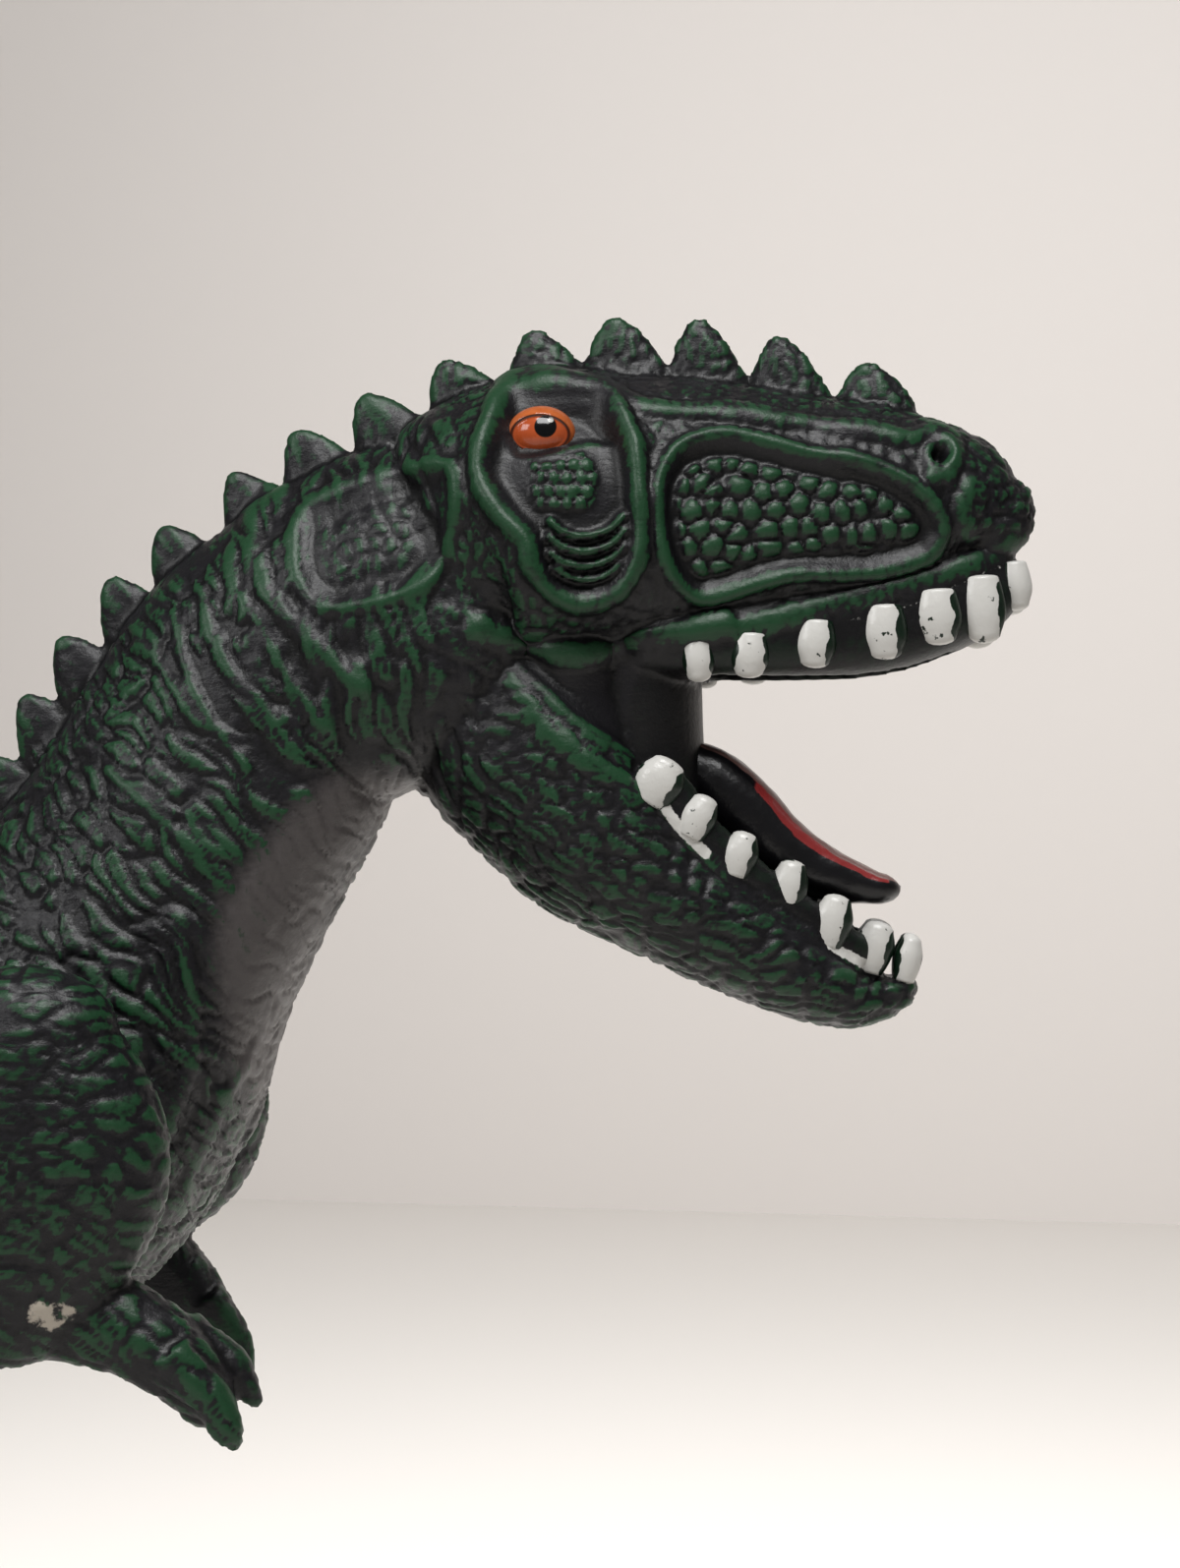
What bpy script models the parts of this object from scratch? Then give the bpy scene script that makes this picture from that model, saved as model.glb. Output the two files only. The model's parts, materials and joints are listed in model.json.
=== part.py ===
"""A jumbo vinyl theropod toy, standing on two feet and its tail tip.

The head, neck and trunk are one hollow moulded skin packed with fibre. The tail plugs into its
open rear end, the tongue is glued into the lower jaw, and each arm and leg turns on a hard
plastic stud that a washer and a lock ring hold inside the trunk.
Lengths are in metres, +X is where the snout points, +Z is up and Y is across.
"""

import math

import bmesh
import bpy
from mathutils import Matrix, Vector
from mathutils.bvhtree import BVHTree

MM = 0.001
ACROSS = Vector((0, 1, 0))
SIDES = ((-1, "right"), (1, "left"))

# Driving sizes of the figure
FIGURE_HEIGHT = 372 * MM
TRUNK_DEPTH = 84 * MM
TRUNK_WIDTH = 76 * MM
HEAD_LENGTH = 104 * MM
HEAD_WIDTH = 57 * MM
TAIL_LENGTH = 252 * MM
ARM_LENGTH = 78 * MM
LEG_WIDTH = 34 * MM
SKIN = 3 * MM
GAP = 0.3 * MM
OVERRUN = 4 * MM
SLIVER = 0.02 * MM

# The trunk's centreline and half sizes, from inside the head to the tail socket:
# x and z are shares of the figure's height, then half depth and half width are shares
# of the trunk's depth and width
TRUNK_SHARES = (
    (0.271, 0.898, 0, 0),
    (0.242, 0.885, 0.28, 0.27),
    (0.208, 0.866, 0.36, 0.31),
    (0.138, 0.826, 0.345, 0.31),
    (0.111, 0.784, 0.355, 0.33),
    (0.084, 0.738, 0.365, 0.36),
    (0.057, 0.695, 0.40, 0.395),
    (0.030, 0.654, 0.470, 0.44),
    (-0.010, 0.615, 0.520, 0.475),
    (-0.061, 0.586, 0.505, 0.495),
    (-0.126, 0.551, 0.485, 0.50),
    (-0.194, 0.521, 0.46, 0.485),
    (-0.262, 0.492, 0.39, 0.415),
    (-0.339, 0.462, 0.30, 0.325),
    (-0.372, 0.449, 0.26, 0.28),
    (-0.385, 0.444, 0, 0),
)
CORE_SKIPPED_COUNT = 3
SOCKET_ROW_COUNT = 13
TRUNK_EGG_SHARE = 0.14
TRUNK_SQUARE_SHARES = (2.1, 2.5)

# The head stands where the neck ends, with its origin at the back corner of the jaw.
# Its tables hold x and z as shares of the head's length, then the half height as a share
# of the length and the half width as a share of the head's width
HEAD_AT_SHARE = (0.228, 0.823)
SKULL_SHARES = (
    (-0.070, 0.243, 0, 0),
    (0.000, 0.270, 0.217, 0.41),
    (0.070, 0.301, 0.226, 0.475),
    (0.157, 0.306, 0.250, 0.50),
    (0.296, 0.308, 0.238, 0.455),
    (0.435, 0.310, 0.226, 0.395),
    (0.574, 0.310, 0.205, 0.345),
    (0.713, 0.322, 0.174, 0.30),
    (0.810, 0.325, 0.144, 0.262),
    (0.875, 0.318, 0.118, 0.228),
    (0.932, 0.290, 0.078, 0.170),
    (0.988, 0.262, 0, 0),
)
JAW_SHARES = (
    (-0.052, 0.017, 0, 0),
    (0.009, -0.026, 0.170, 0.33),
    (0.104, -0.113, 0.181, 0.385),
    (0.226, -0.261, 0.155, 0.39),
    (0.348, -0.362, 0.115, 0.36),
    (0.461, -0.437, 0.094, 0.32),
    (0.577, -0.501, 0.075, 0.27),
    (0.673, -0.543, 0.054, 0.21),
    (0.748, -0.543, 0.035, 0.14),
    (0.797, -0.527, 0, 0),
)
CHEEK_SHARES = (
    (0.157, 0.243, 0, 0),
    (0.183, 0.104, 0.139, 0.352),
    (0.205, -0.026, 0.120, 0.33),
    (0.243, -0.157, 0.105, 0.335),
    (0.261, -0.261, 0, 0),
)
THROAT_WALL_SHARES = (
    (0.290, 0.170, 0, 0),
    (0.310, 0.090, 0.105, 0.300),
    (0.315, 0.000, 0.105, 0.290),
    (0.318, -0.090, 0.105, 0.270),
    (0.330, -0.170, 0.100, 0.250),
    (0.350, -0.260, 0, 0),
)
GUM_SHARES = (
    (0.260, 0.080, 0, 0),
    (0.330, 0.085, 0.078, 0.410),
    (0.450, 0.090, 0.083, 0.365),
    (0.600, 0.100, 0.092, 0.310),
    (0.720, 0.115, 0.098, 0.270),
    (0.820, 0.145, 0.095, 0.235),
    (0.900, 0.180, 0.085, 0.190),
    (0.938, 0.205, 0.060, 0.140),
    (0.968, 0.220, 0, 0),
)
PALATE_SHARES = (
    (0.400, 0.070, 0, 0),
    (0.450, 0.085, 0.110, 0.270),
    (0.600, 0.095, 0.115, 0.220),
    (0.720, 0.105, 0.110, 0.180),
    (0.810, 0.125, 0.095, 0.145),
    (0.870, 0.140, 0, 0),
)
SKULL_CORE_SHARES = (
    (-0.110, 0.200, 0, 0),
    (-0.050, 0.243, 0.105, 0.19),
    (0.087, 0.348, 0.130, 0.30),
    (0.226, 0.365, 0.139, 0.315),
    (0.400, 0.365, 0.120, 0.265),
    (0.574, 0.348, 0.096, 0.20),
    (0.680, 0.339, 0, 0),
)

SKULL_SQUARE_SHARES = (2.1, 3)
SKULL_EGG_SHARE = 0.1
JAW_SQUARE_SHARES = (3, 2.1)
JAW_EGG_SHARE = -0.06

# Mouth
GUM_SQUARE_SHARES = (3, 4)
JAW_GUM_INSET = 3.2 * MM
JAW_GUM_LIFT = 1.5 * MM
JAW_GUM_HALF_HEIGHT = 5.5 * MM
JAW_GUM_STATION_SHARES = (2.7, 3.2, 4, 5, 6, 6.9, 7.5, 7.9)
GUM_WALL = 6.2 * MM
TROUGH_DEPTH = 7.5 * MM
TROUGH_LIFT = 5 * MM
TROUGH_SQUARE_SHARES = (2, 2.8)
TOOTH_WIDTH = 5.4 * MM
UPPER_TOOTH_LENGTH = 9.6 * MM
LOWER_TOOTH_LENGTH = 8.4 * MM
TOOTH_ROOT = 3 * MM
TOOTH_DEPTH_SHARE = 0.85
TOOTH_TIP_SHARE = 0.5
TOOTH_SEAT_SHARE = 0.22
LOWER_TOOTH_FOOT_SHARE = 0.72
LOWER_TOOTH_SEAT_SHARE = 0.48
TOOTH_SIDE_COUNT = 5
TROUGH_STATION_SHARES = (2.2, 2.7, 3.5, 4.5, 5.5, 6.5, 7.4, 7.8)
UPPER_TOOTH_SHARES = (1.72, 2.38, 3.21, 4.26, 5.27, 6.31, 7)
LOWER_TOOTH_SHARES = (3.42, 4.05, 4.75, 5.5, 6.2, 6.85, 7.4)
TONGUE_HALF_WIDTH = 8 * MM
TONGUE_HALF_HEIGHT = 7 * MM
TONGUE_CLEARANCE = 0.75 * MM
TONGUE_SQUARE_SHARES = (2.4, 2)
# Station on the jaw, half height and half width as shares of the tongue's, lift over the floor
# as a share of its half height
TONGUE_SHARES = (
    (2.75, 0, 0, 0.9),
    (3.05, 0.95, 0.80, 0),
    (3.60, 1.0, 1.0, 0),
    (4.40, 0.85, 0.98, 0.25),
    (5.20, 0.60, 0.88, 0.75),
    (5.95, 0.42, 0.66, 1.0),
    (6.40, 0, 0, 1.15),
)

# Head relief, as closed loops or open lines in shares of the head's length
RIM_RADIUS = 1.5 * MM
LEDGE_RADIUS = 2.2 * MM
RELIEF_SINK_SHARE = 1 / 3
RECESS_DEPTH = 1.6 * MM
RECESS_HALF_THICKNESS = 5 * MM
EYE_RIM_SHARES = (
    (0.130, 0.522), (0.045, 0.475), (0.024, 0.380), (0.060, 0.310), (0.112, 0.225),
    (0.160, 0.170), (0.255, 0.160), (0.312, 0.220), (0.318, 0.306), (0.290, 0.400),
    (0.285, 0.462), (0.210, 0.512),
)
PANEL_SHRINK_SHARE = 0.84
PANEL_RIM_SHARES = (
    (0.445, 0.445), (0.370, 0.415), (0.347, 0.300), (0.375, 0.215), (0.450, 0.183),
    (0.560, 0.212), (0.690, 0.232), (0.800, 0.240), (0.850, 0.290), (0.800, 0.350),
    (0.650, 0.408), (0.550, 0.433),
)
NASAL_RIDGE_SHARES = (
    (0.255, 0.510), (0.300, 0.497), (0.350, 0.490), (0.430, 0.497), (0.530, 0.488),
    (0.640, 0.470), (0.720, 0.460), (0.790, 0.448), (0.835, 0.420),
)
LEDGE_SHARES = (
    (0.035, 0.115), (0.085, 0.085), (0.150, 0.066), (0.220, 0.066), (0.290, 0.082),
    (0.360, 0.112),
)
EYE_SHARE = (0.137, 0.458)
EYE_SOCKET_SHARE = (0.170, 0.440)
EYE_SOCKET_RADIUS = 9 * MM
EYE_RADIUS = 5 * MM
EYE_STAND = 1.4 * MM
NOSTRIL_SHARE = (0.846, 0.409)
NOSTRIL_RADIUS = 1.7 * MM

# Crest of spines down the midline
SPINE_LENGTH = 12 * MM
SPINE_HEIGHT = 9.6 * MM
SPINE_WIDTH = 5.6 * MM
SPINE_ROOT_SHARE = 0.42
SPINE_LEAN_SHARE = 0.35
SPINE_WAIST_SHARES = (0.55, 0.86, 0.74)
SPINE_TIP_SHARES = (0.26, 0.3)
SPINE_SIDE_COUNT = 6
SKULL_SPINE_SHARES = (
    (1.05, 0.85), (2.78, 0.85), (3.88, 1.12), (4.97, 1.05), (5.96, 0.95), (6.93, 0.85),
)
TRUNK_SPINE_COUNT = 21
TRUNK_SPINE_SIZE_SHARES = (1.05, 0.76)
TRUNK_SPINES_FROM_SHARE = 1.7
TRUNK_SPINES_TO_SHARE = 12.6
TAIL_SPINE_COUNT = 12
TAIL_SPINE_SIZE_SHARES = (0.75, 0.38)
TAIL_SPINES_FROM_SHARE = 2.5
TAIL_SPINES_TO_SHARE = 10.5

# Limb joints: a round pad on the flank, a stud in the limb, a washer and a lock ring inside
PAD_PROUD = 0.8 * MM
PAD_ROOT_SHARE = 0.5
PAD_FLARE_SHARE = 1.6
POCKET_ROOT_SHARE = 0.45
LIMB_HOLE_FROM_SHARE = 0.9
HIP_ROW_COUNT = 11
SHOULDER_AT_SHARE = (0.029, 0.608)
HIP_PAD_RADIUS = 24 * MM
SHOULDER_PAD_RADIUS = 15 * MM
STEM_RADIUS = 4 * MM
DISC_THICKNESS = 2.4 * MM
HIP_DISC_RADIUS = 13 * MM
SHOULDER_DISC_RADIUS = 8.5 * MM
WASHER_THICKNESS = 1.8 * MM
LOCK_THICKNESS = 3 * MM
LOCK_RADIUS = 6.6 * MM
LOCK_SLOT_SHARE = 0.8
STEM_TAIL = 1.2 * MM
HARDWARE_SIDE_COUNT = 12

# Limbs. Arm and leg tables: x and z, half size in the side view and half width across
ARM_UPPER_SHARES = (
    (0.00, 0.40, 0, 0),
    (0.02, 0.20, 0.260, 0.150),
    (0.06, -0.01, 0.320, 0.165),
    (0.03, -0.20, 0.270, 0.150),
    (-0.02, -0.33, 0.190, 0.125),
    (-0.08, -0.45, 0, 0),
)
FOREARM_SHARES = (
    (-0.14, -0.255, 0, 0),
    (-0.04, -0.300, 0.135, 0.115),
    (0.08, -0.325, 0.122, 0.108),
    (0.20, -0.360, 0.110, 0.100),
    (0.325, -0.415, 0.097, 0.092),
    (0.430, -0.495, 0.078, 0.078),
    (0.500, -0.580, 0, 0),
)
FOREARM_IN_SHARE = 0.035
ARM_OUT_SHARE = 0.75
FINGER_SHARES = (
    ((0.38, -0.43), (0.475, -0.530), (0.535, -0.635), 0.058, 0.05),
    ((0.39, -0.40), (0.500, -0.470), (0.565, -0.560), 0.050, -0.05),
)
FINGER_TAPER_SHARES = (1, 0.8, 0)
LEFT_ARM_BACK = math.radians(20)
LEG_SHARES = (
    (-0.219, 0.604, 0, 0),
    (-0.204, 0.538, 0.071, 0.47),
    (-0.164, 0.475, 0.073, 0.50),
    (-0.124, 0.416, 0.058, 0.45),
    (-0.096, 0.362, 0.044, 0.38),
    (-0.106, 0.304, 0.035, 0.32),
    (-0.128, 0.252, 0.028, 0.26),
    (-0.146, 0.196, 0.023, 0.235),
    (-0.132, 0.140, 0.022, 0.235),
    (-0.112, 0.090, 0.023, 0.25),
    (-0.094, 0.040, 0.029, 0.32),
    (-0.086, -0.010, 0, 0),
)
LEG_CENTRE_SHARE = 0.34
LEG_INSIDE_COUNT = 6
ANKLE_X_SHARE = -0.094
TOE_LENGTH = 52 * MM
TOE_RADIUS = 8 * MM
CLAW_LENGTH = 11 * MM
CLAW_RADIUS = 3.4 * MM
TOE_SPREAD_SHARES = ((-26, 0.88), (0, 1.0), (26, 0.88), (168, 0.34))
# Along the toe and its radius there, then the toe's tip, the claw's root, bend and tip
TOE_STATION_SHARES = ((0.05, 1.25), (0.30, 1.12), (0.62, 0.95), (0.88, 0.82))
TOE_TIP_SHARES = (1.03, 0.7)
CLAW_ROOT_SHARES = (0.93, 0.85)
CLAW_BEND_SHARES = (0.6, 0.8, 0.7)
CLAW_TIP_SHARE = 0.35
SOLE_SINK = 1.2 * MM

# Tail, from its root to its tip: x as a share of the tail's length, z as a share of the
# socket's height, half depth and half width as shares of the socket's whole sizes
TAIL_SHARES = (
    (0.094, 0.936, 0.42, 0.42),
    (0.202, 0.836, 0.35, 0.345),
    (0.310, 0.702, 0.285, 0.280),
    (0.410, 0.548, 0.235, 0.230),
    (0.505, 0.388, 0.190, 0.185),
    (0.592, 0.240, 0.155, 0.150),
    (0.680, 0.118, 0.125, 0.120),
    (0.773, 0.0500, 0.100, 0.092),
    (0.866, 0.0230, 0.076, 0.068),
    (0.945, 0.0175, 0.054, 0.048),
    (1.000, 0.0180, 0, 0),
)
SOCKET_LIP = 4 * MM
SPIGOT_LENGTH = 11 * MM
BEAD_LENGTH = 3 * MM
BEAD_PROUD = 2 * MM
FLOOR_SINK = 0.35 * MM

# Filling hole in the belly and the plug that closes it
PLUG_STATION_SHARE = 10.3
PLUG_HEAD_RADIUS = 10 * MM
PLUG_HEAD_THICKNESS = 1.4 * MM
PLUG_HOLE_DEPTH = 9 * MM
PLUG_CLEARANCE_DEPTH = 12 * MM
PLUG_STEM_RADIUS = 7 * MM
PLUG_BEAD_RADIUS = 8.4 * MM
PLUG_BEAD_THICKNESS = 1.6 * MM

FINISHES = {
    "skin": ((0.035, 0.085, 0.045), 0.45),
    "tongue": ((0.45, 0.03, 0.03), 0.35),
    "fibre": ((0.85, 0.84, 0.80), 0.95),
    "hard_plastic": ((0.75, 0.74, 0.70), 0.4),
}


def finish(name):
    colour, roughness = FINISHES[name]
    material = bpy.data.materials.get(name) or bpy.data.materials.new(name)
    material.use_nodes = True
    shader = material.node_tree.nodes["Principled BSDF"]
    shader.inputs["Base Color"].default_value = (*colour, 1)
    shader.inputs["Roughness"].default_value = roughness
    shader.inputs["Metallic"].default_value = 0
    return material


# Paths and sections

def body_row(x, z, up, across, y=0.0):
    """One station of a tube: its centre, its half size in the side view and its half width."""
    return (Vector((x, y, z)), up, across)


def blend_rows(rows, station):
    """The station's centre and half sizes, on a smooth curve through the rows, poles left out."""
    first, last = 1, len(rows) - 2
    station = min(max(station, first), last)
    at = min(int(station), last - 1)
    t = station - at
    picked = [rows[min(max(at + k, first), last)] for k in (-1, 0, 1, 2)]
    weights = (
        (-t + 2 * t**2 - t**3) / 2,
        (2 - 5 * t**2 + 3 * t**3) / 2,
        (t + 4 * t**2 - 3 * t**3) / 2,
        (t**3 - t**2) / 2,
    )
    centre = sum((w * row[0] for w, row in zip(weights, picked)), Vector())
    up = sum(w * row[1] for w, row in zip(weights, picked))
    across = sum(w * row[2] for w, row in zip(weights, picked))
    return centre, up, across


def frame_at(rows, station, flip=1):
    """Centre, tangent, up and across at a station. Up lies in the side view."""
    step = 0.05
    ahead = blend_rows(rows, min(station + step, len(rows) - 2))[0]
    behind = blend_rows(rows, max(station - step, 1))[0]
    tangent = (ahead - behind).normalized()
    across = (ACROSS - ACROSS.dot(tangent) * tangent).normalized()
    up = across.cross(tangent) * flip
    return blend_rows(rows, station)[0], tangent, up, across


def sections(rows, count, caps):
    """Stations of the rings: a quarter ellipse of rings at each end, and even ones between."""
    last = len(rows) - 2
    start = [("start", k / (caps + 1)) for k in range(1, caps + 1)]
    middle = [("tube", 1 + (last - 1) * k / (count - 1)) for k in range(count)]
    end = [("end", k / (caps + 1)) for k in range(caps, 0, -1)]
    return start + middle + end


def swell(name, rows, count, sides, caps=1, squares=(2, 2), egg=0, inset=0, flip=1):
    """A closed tube that swells and tapers along its rows: a unit sphere stretched over them."""
    rings = sections(rows, count, caps)
    shape = bmesh.new()
    bmesh.ops.create_uvsphere(shape, u_segments=sides, v_segments=len(rings) + 1, radius=1)
    last = len(rows) - 2
    for vert in shape.verts:
        ring = round(math.acos(max(-1, min(1, vert.co.z))) / math.pi * (len(rings) + 1))
        turn = math.atan2(vert.co.y, vert.co.x)
        if ring == 0 or ring == len(rings) + 1:
            pole, mate = (rows[0], rows[1]) if ring == 0 else (rows[-1], rows[-2])
            inward = (mate[0] - pole[0]).normalized()
            vert.co = pole[0] + inward * inset
            continue
        part, share = rings[ring - 1]
        station = {"start": 1, "end": last}.get(part, share)
        centre, _, up, across = frame_at(rows, station, flip)
        _, high, wide = blend_rows(rows, station)
        if part != "tube":
            swing = share * math.pi / 2
            pole = rows[0][0] if part == "start" else rows[-1][0]
            pole = pole + (centre - pole).normalized() * inset
            centre = pole.lerp(centre, 1 - math.cos(swing))
        shrink = 1 if part == "tube" else math.sin(share * math.pi / 2)
        lift, spread = math.cos(turn), math.sin(turn)
        square = squares[0] if lift > 0 else squares[1]
        lift = math.copysign(abs(lift) ** (2 / square), lift)
        spread = math.copysign(abs(spread) ** (2 / square), spread)
        spread *= 1 - egg * lift
        vert.co = centre + shrink * (up * lift * (high - inset) + across * spread * (wide - inset))
    return close(shape, name)


def close(shape, name):
    shape.normal_update()
    bmesh.ops.recalc_face_normals(shape, faces=shape.faces)
    mesh = bpy.data.meshes.new(name)
    shape.to_mesh(mesh)
    shape.free()
    mesh.shade_smooth()
    thing = bpy.data.objects.new(name, mesh)
    bpy.context.scene.collection.objects.link(thing)
    return thing


def drum(name, centre, axis, start, end, radius, segments=HARDWARE_SIDE_COUNT, flare=1):
    """A round bar about the axis through the centre, flared at its start where it's a boss."""
    shape = bmesh.new()
    bmesh.ops.create_cone(
        shape, cap_ends=True, segments=segments, radius1=radius * flare, radius2=radius,
        depth=end - start,
    )
    place = Matrix.Translation(centre + axis * (start + end) / 2)
    turn = axis.to_track_quat("Z", "Y").to_matrix().to_4x4()
    bmesh.ops.transform(shape, matrix=place @ turn, verts=shape.verts)
    return close(shape, name)


def slab(name, low, high):
    shape = bmesh.new()
    bmesh.ops.create_cube(shape, size=1)
    size = high - low
    bmesh.ops.scale(shape, vec=size, verts=shape.verts)
    bmesh.ops.translate(shape, vec=(low + high) / 2, verts=shape.verts)
    return close(shape, name)


def bead(name, points, radius, closed, sides=0):
    """A round ridge along the points, as the mesh of a bevelled curve."""
    curve = bpy.data.curves.new(name, "CURVE")
    curve.dimensions = "3D"
    curve.bevel_depth = radius
    curve.bevel_resolution = sides
    curve.use_fill_caps = True
    spline = curve.splines.new("POLY")
    spline.points.add(len(points) - 1)
    for spot, point in zip(spline.points, points):
        spot.co = (*point, 1)
    spline.use_cyclic_u = closed
    guide = bpy.data.objects.new(name, curve)
    shape = bmesh.new()
    shape.from_mesh(bpy.data.meshes.new_from_object(guide))
    bpy.data.objects.remove(guide)
    bmesh.ops.remove_doubles(shape, verts=shape.verts, dist=SLIVER)
    return close(shape, name)


def joined(name, things):
    """One collection that a Boolean reads, its members out of the render."""
    group = bpy.data.collections.new(name)
    bpy.context.scene.collection.children.link(group)
    for thing in things:
        bpy.context.scene.collection.objects.unlink(thing)
        group.objects.link(thing)
        thing.hide_render = True
        thing.display_type = "WIRE"
    group.hide_render = True
    return group


def carve(thing, operation, tools, name):
    modifier = thing.modifiers.new(name, "BOOLEAN")
    modifier.operation = operation
    modifier.operand_type = "COLLECTION"
    modifier.collection = joined(thing.name + "_" + name, tools)
    modifier.solver = "EXACT"
    if operation == "UNION":
        weld = thing.modifiers.new(name + "_weld", "WELD")
        weld.merge_threshold = SLIVER


def dress(thing, material, parent):
    thing.data.materials.clear()
    thing.data.materials.append(finish(material))
    thing.parent = parent
    return thing


# Tables in metres

def trunk_rows():
    return [
        body_row(x * FIGURE_HEIGHT, z * FIGURE_HEIGHT, up * TRUNK_DEPTH, wide * TRUNK_WIDTH)
        for x, z, up, wide in TRUNK_SHARES
    ]


def head_point(x, z, y=0.0):
    """A place on the head from shares of its length."""
    return Vector((
        HEAD_AT_SHARE[0] * FIGURE_HEIGHT + x * HEAD_LENGTH,
        y,
        HEAD_AT_SHARE[1] * FIGURE_HEIGHT + z * HEAD_LENGTH,
    ))


def head_rows(shares):
    return [(head_point(x, z), up * HEAD_LENGTH, wide * HEAD_WIDTH) for x, z, up, wide in shares]


def arm_point(at, x, z, middle, back):
    """A place on an arm that hangs turned back about the shoulder, from shares of its length."""
    swung = Matrix.Rotation(back, 3, "Y") @ Vector((x, 0, z)) * ARM_LENGTH
    return Vector((at.x + swung.x, middle, at.z + swung.z))


def arm_rows(shares, at, middle, back):
    """Rows of an arm piece from shares of the arm's length."""
    return [
        (arm_point(at, x, z, middle, back), up * ARM_LENGTH, wide * ARM_LENGTH)
        for x, z, up, wide in shares
    ]


def leg_rows(middle):
    return [
        body_row(x * FIGURE_HEIGHT, z * FIGURE_HEIGHT, up * FIGURE_HEIGHT, wide * LEG_WIDTH, middle)
        for x, z, up, wide in LEG_SHARES
    ]


def tail_rows(trunk):
    """Rows of the tail, carrying the trunk's own shape through the socket."""
    centre, high, wide = blend_rows(trunk, SOCKET_ROW_COUNT)
    rows = [(trunk[SOCKET_ROW_COUNT - 2][0], 0, 0)]
    rows += trunk[SOCKET_ROW_COUNT - 1:SOCKET_ROW_COUNT + 1]
    for x, z, up, across in TAIL_SHARES:
        rows.append(body_row(
            centre.x - x * TAIL_LENGTH, centre.z * z - FLOOR_SINK, up * 2 * high, across * 2 * wide
        ))
    return rows


def straight(name, centre, axis, start, end, high, wide, inset, sides):
    """A straight oval bar about the axis, flat at both ends."""
    near = centre + axis * start
    far = centre + axis * end
    rows = [(near, 0, 0), (near, high, wide), (far, high, wide), (far, 0, 0)]
    return swell(
        name, rows, 2, sides, caps=0, squares=TRUNK_SQUARE_SHARES, egg=TRUNK_EGG_SHARE, inset=inset
    )


# Head

def skin_map(things):
    """The outer faces of the plain forms, for laying relief on them."""
    trees = []
    for thing in things:
        mesh = thing.data
        trees.append(BVHTree.FromPolygons(
            [vert.co for vert in mesh.vertices], [face.vertices for face in mesh.polygons]
        ))
    return trees


def lay(trees, point, side, sink=0.0):
    """The outermost place on the forms at the point's x and z, sunk towards the middle."""
    reach = TRUNK_WIDTH * 2
    found = 0.0
    for tree in trees:
        hit = tree.ray_cast(Vector((point.x, side * reach, point.z)), -ACROSS * side)
        if hit[0] is not None:
            found = max(found, abs(hit[0].y))
    return Vector((point.x, side * (found - sink), point.z))


def relief_line(name, shares, trees, side, radius, closed):
    laid = [lay(trees, head_point(x, z), side, radius * RELIEF_SINK_SHARE) for x, z in shares]
    return bead(name, laid, radius, closed)


def plate(name, loop, trees, side, inward, outward):
    """A cutter over a closed loop on the skin, from inward of the surface to outward of it."""
    shape = bmesh.new()
    rings = []
    for shift in (inward, -outward):
        laid = [lay(trees, point, side, shift) for point in loop]
        rings.append([shape.verts.new(point) for point in laid])
    for ring in rings:
        shape.faces.new(ring)
    bmesh.ops.bridge_loops(shape, edges=shape.edges[:])
    bmesh.ops.triangulate(shape, faces=shape.faces)
    return close(shape, name)


def stub(name, foot, upright, along, levels, sides):
    """Oval rings stacked over the foot; each level is its height, lean, length and width."""
    shape = bmesh.new()
    across = upright.cross(along).normalized()
    rings = []
    for rise, lean, length, width in levels:
        ring = []
        for k in range(sides):
            turn = math.tau * (k + 1 / 2) / sides
            ring.append(shape.verts.new(
                foot + upright * rise + along * (lean + math.cos(turn) * length / 2)
                + across * (math.sin(turn) * width / 2)
            ))
        rings.append(ring)
    for low, high in zip(rings, rings[1:]):
        for k in range(sides):
            after = (k + 1) % sides
            shape.faces.new((low[k], low[after], high[after], high[k]))
    shape.faces.new(rings[0])
    shape.faces.new(rings[-1])
    bmesh.ops.triangulate(shape, faces=shape.faces)
    return close(shape, name)


def tooth(name, foot, upright, along, tall):
    """A blunt peg, sunk into the gum at its root."""
    width = TOOTH_WIDTH * TOOTH_DEPTH_SHARE
    tip = TOOTH_TIP_SHARE
    return stub(name, foot, upright, along, (
        (-TOOTH_ROOT, 0, TOOTH_WIDTH, width),
        (tall, 0, TOOTH_WIDTH * tip, width * tip),
    ), TOOTH_SIDE_COUNT)


def crest_spine(name, rows, station, size, flip):
    """A blunt leaf that stands on the back's outline and leans towards the tail."""
    centre, tangent, up, _ = frame_at(rows, station, flip)
    high = blend_rows(rows, station)[1]
    back = tangent if flip > 0 else -tangent
    length, tall, width = SPINE_LENGTH * size, SPINE_HEIGHT * size, SPINE_WIDTH * size
    waist_at, waist_length, waist_width = SPINE_WAIST_SHARES
    lean = tall * SPINE_LEAN_SHARE
    return stub(name, centre + up * high, up, back, (
        (-tall * SPINE_ROOT_SHARE, 0, length, width),
        (tall * waist_at, lean * waist_at, length * waist_length, width * waist_width),
        (tall, lean, length * SPINE_TIP_SHARES[0], width * SPINE_TIP_SHARES[1]),
    ), SPINE_SIDE_COUNT)


def even_stations(rows, first, last, count):
    """Stations that lie evenly along the rows' upper outline, from the first to the last."""
    steps = count * 12
    trail = [first + (last - first) * k / steps for k in range(steps + 1)]
    spots = []
    for station in trail:
        centre, _, up, _ = frame_at(rows, station)
        spots.append(centre + up * blend_rows(rows, station)[1])
    run = [0.0]
    for a, b in zip(spots, spots[1:]):
        run.append(run[-1] + (b - a).length)
    found = []
    for k in range(count):
        goal = run[-1] * k / (count - 1)
        at = min(range(len(run)), key=lambda index: abs(run[index] - goal))
        found.append(trail[at])
    return found


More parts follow.
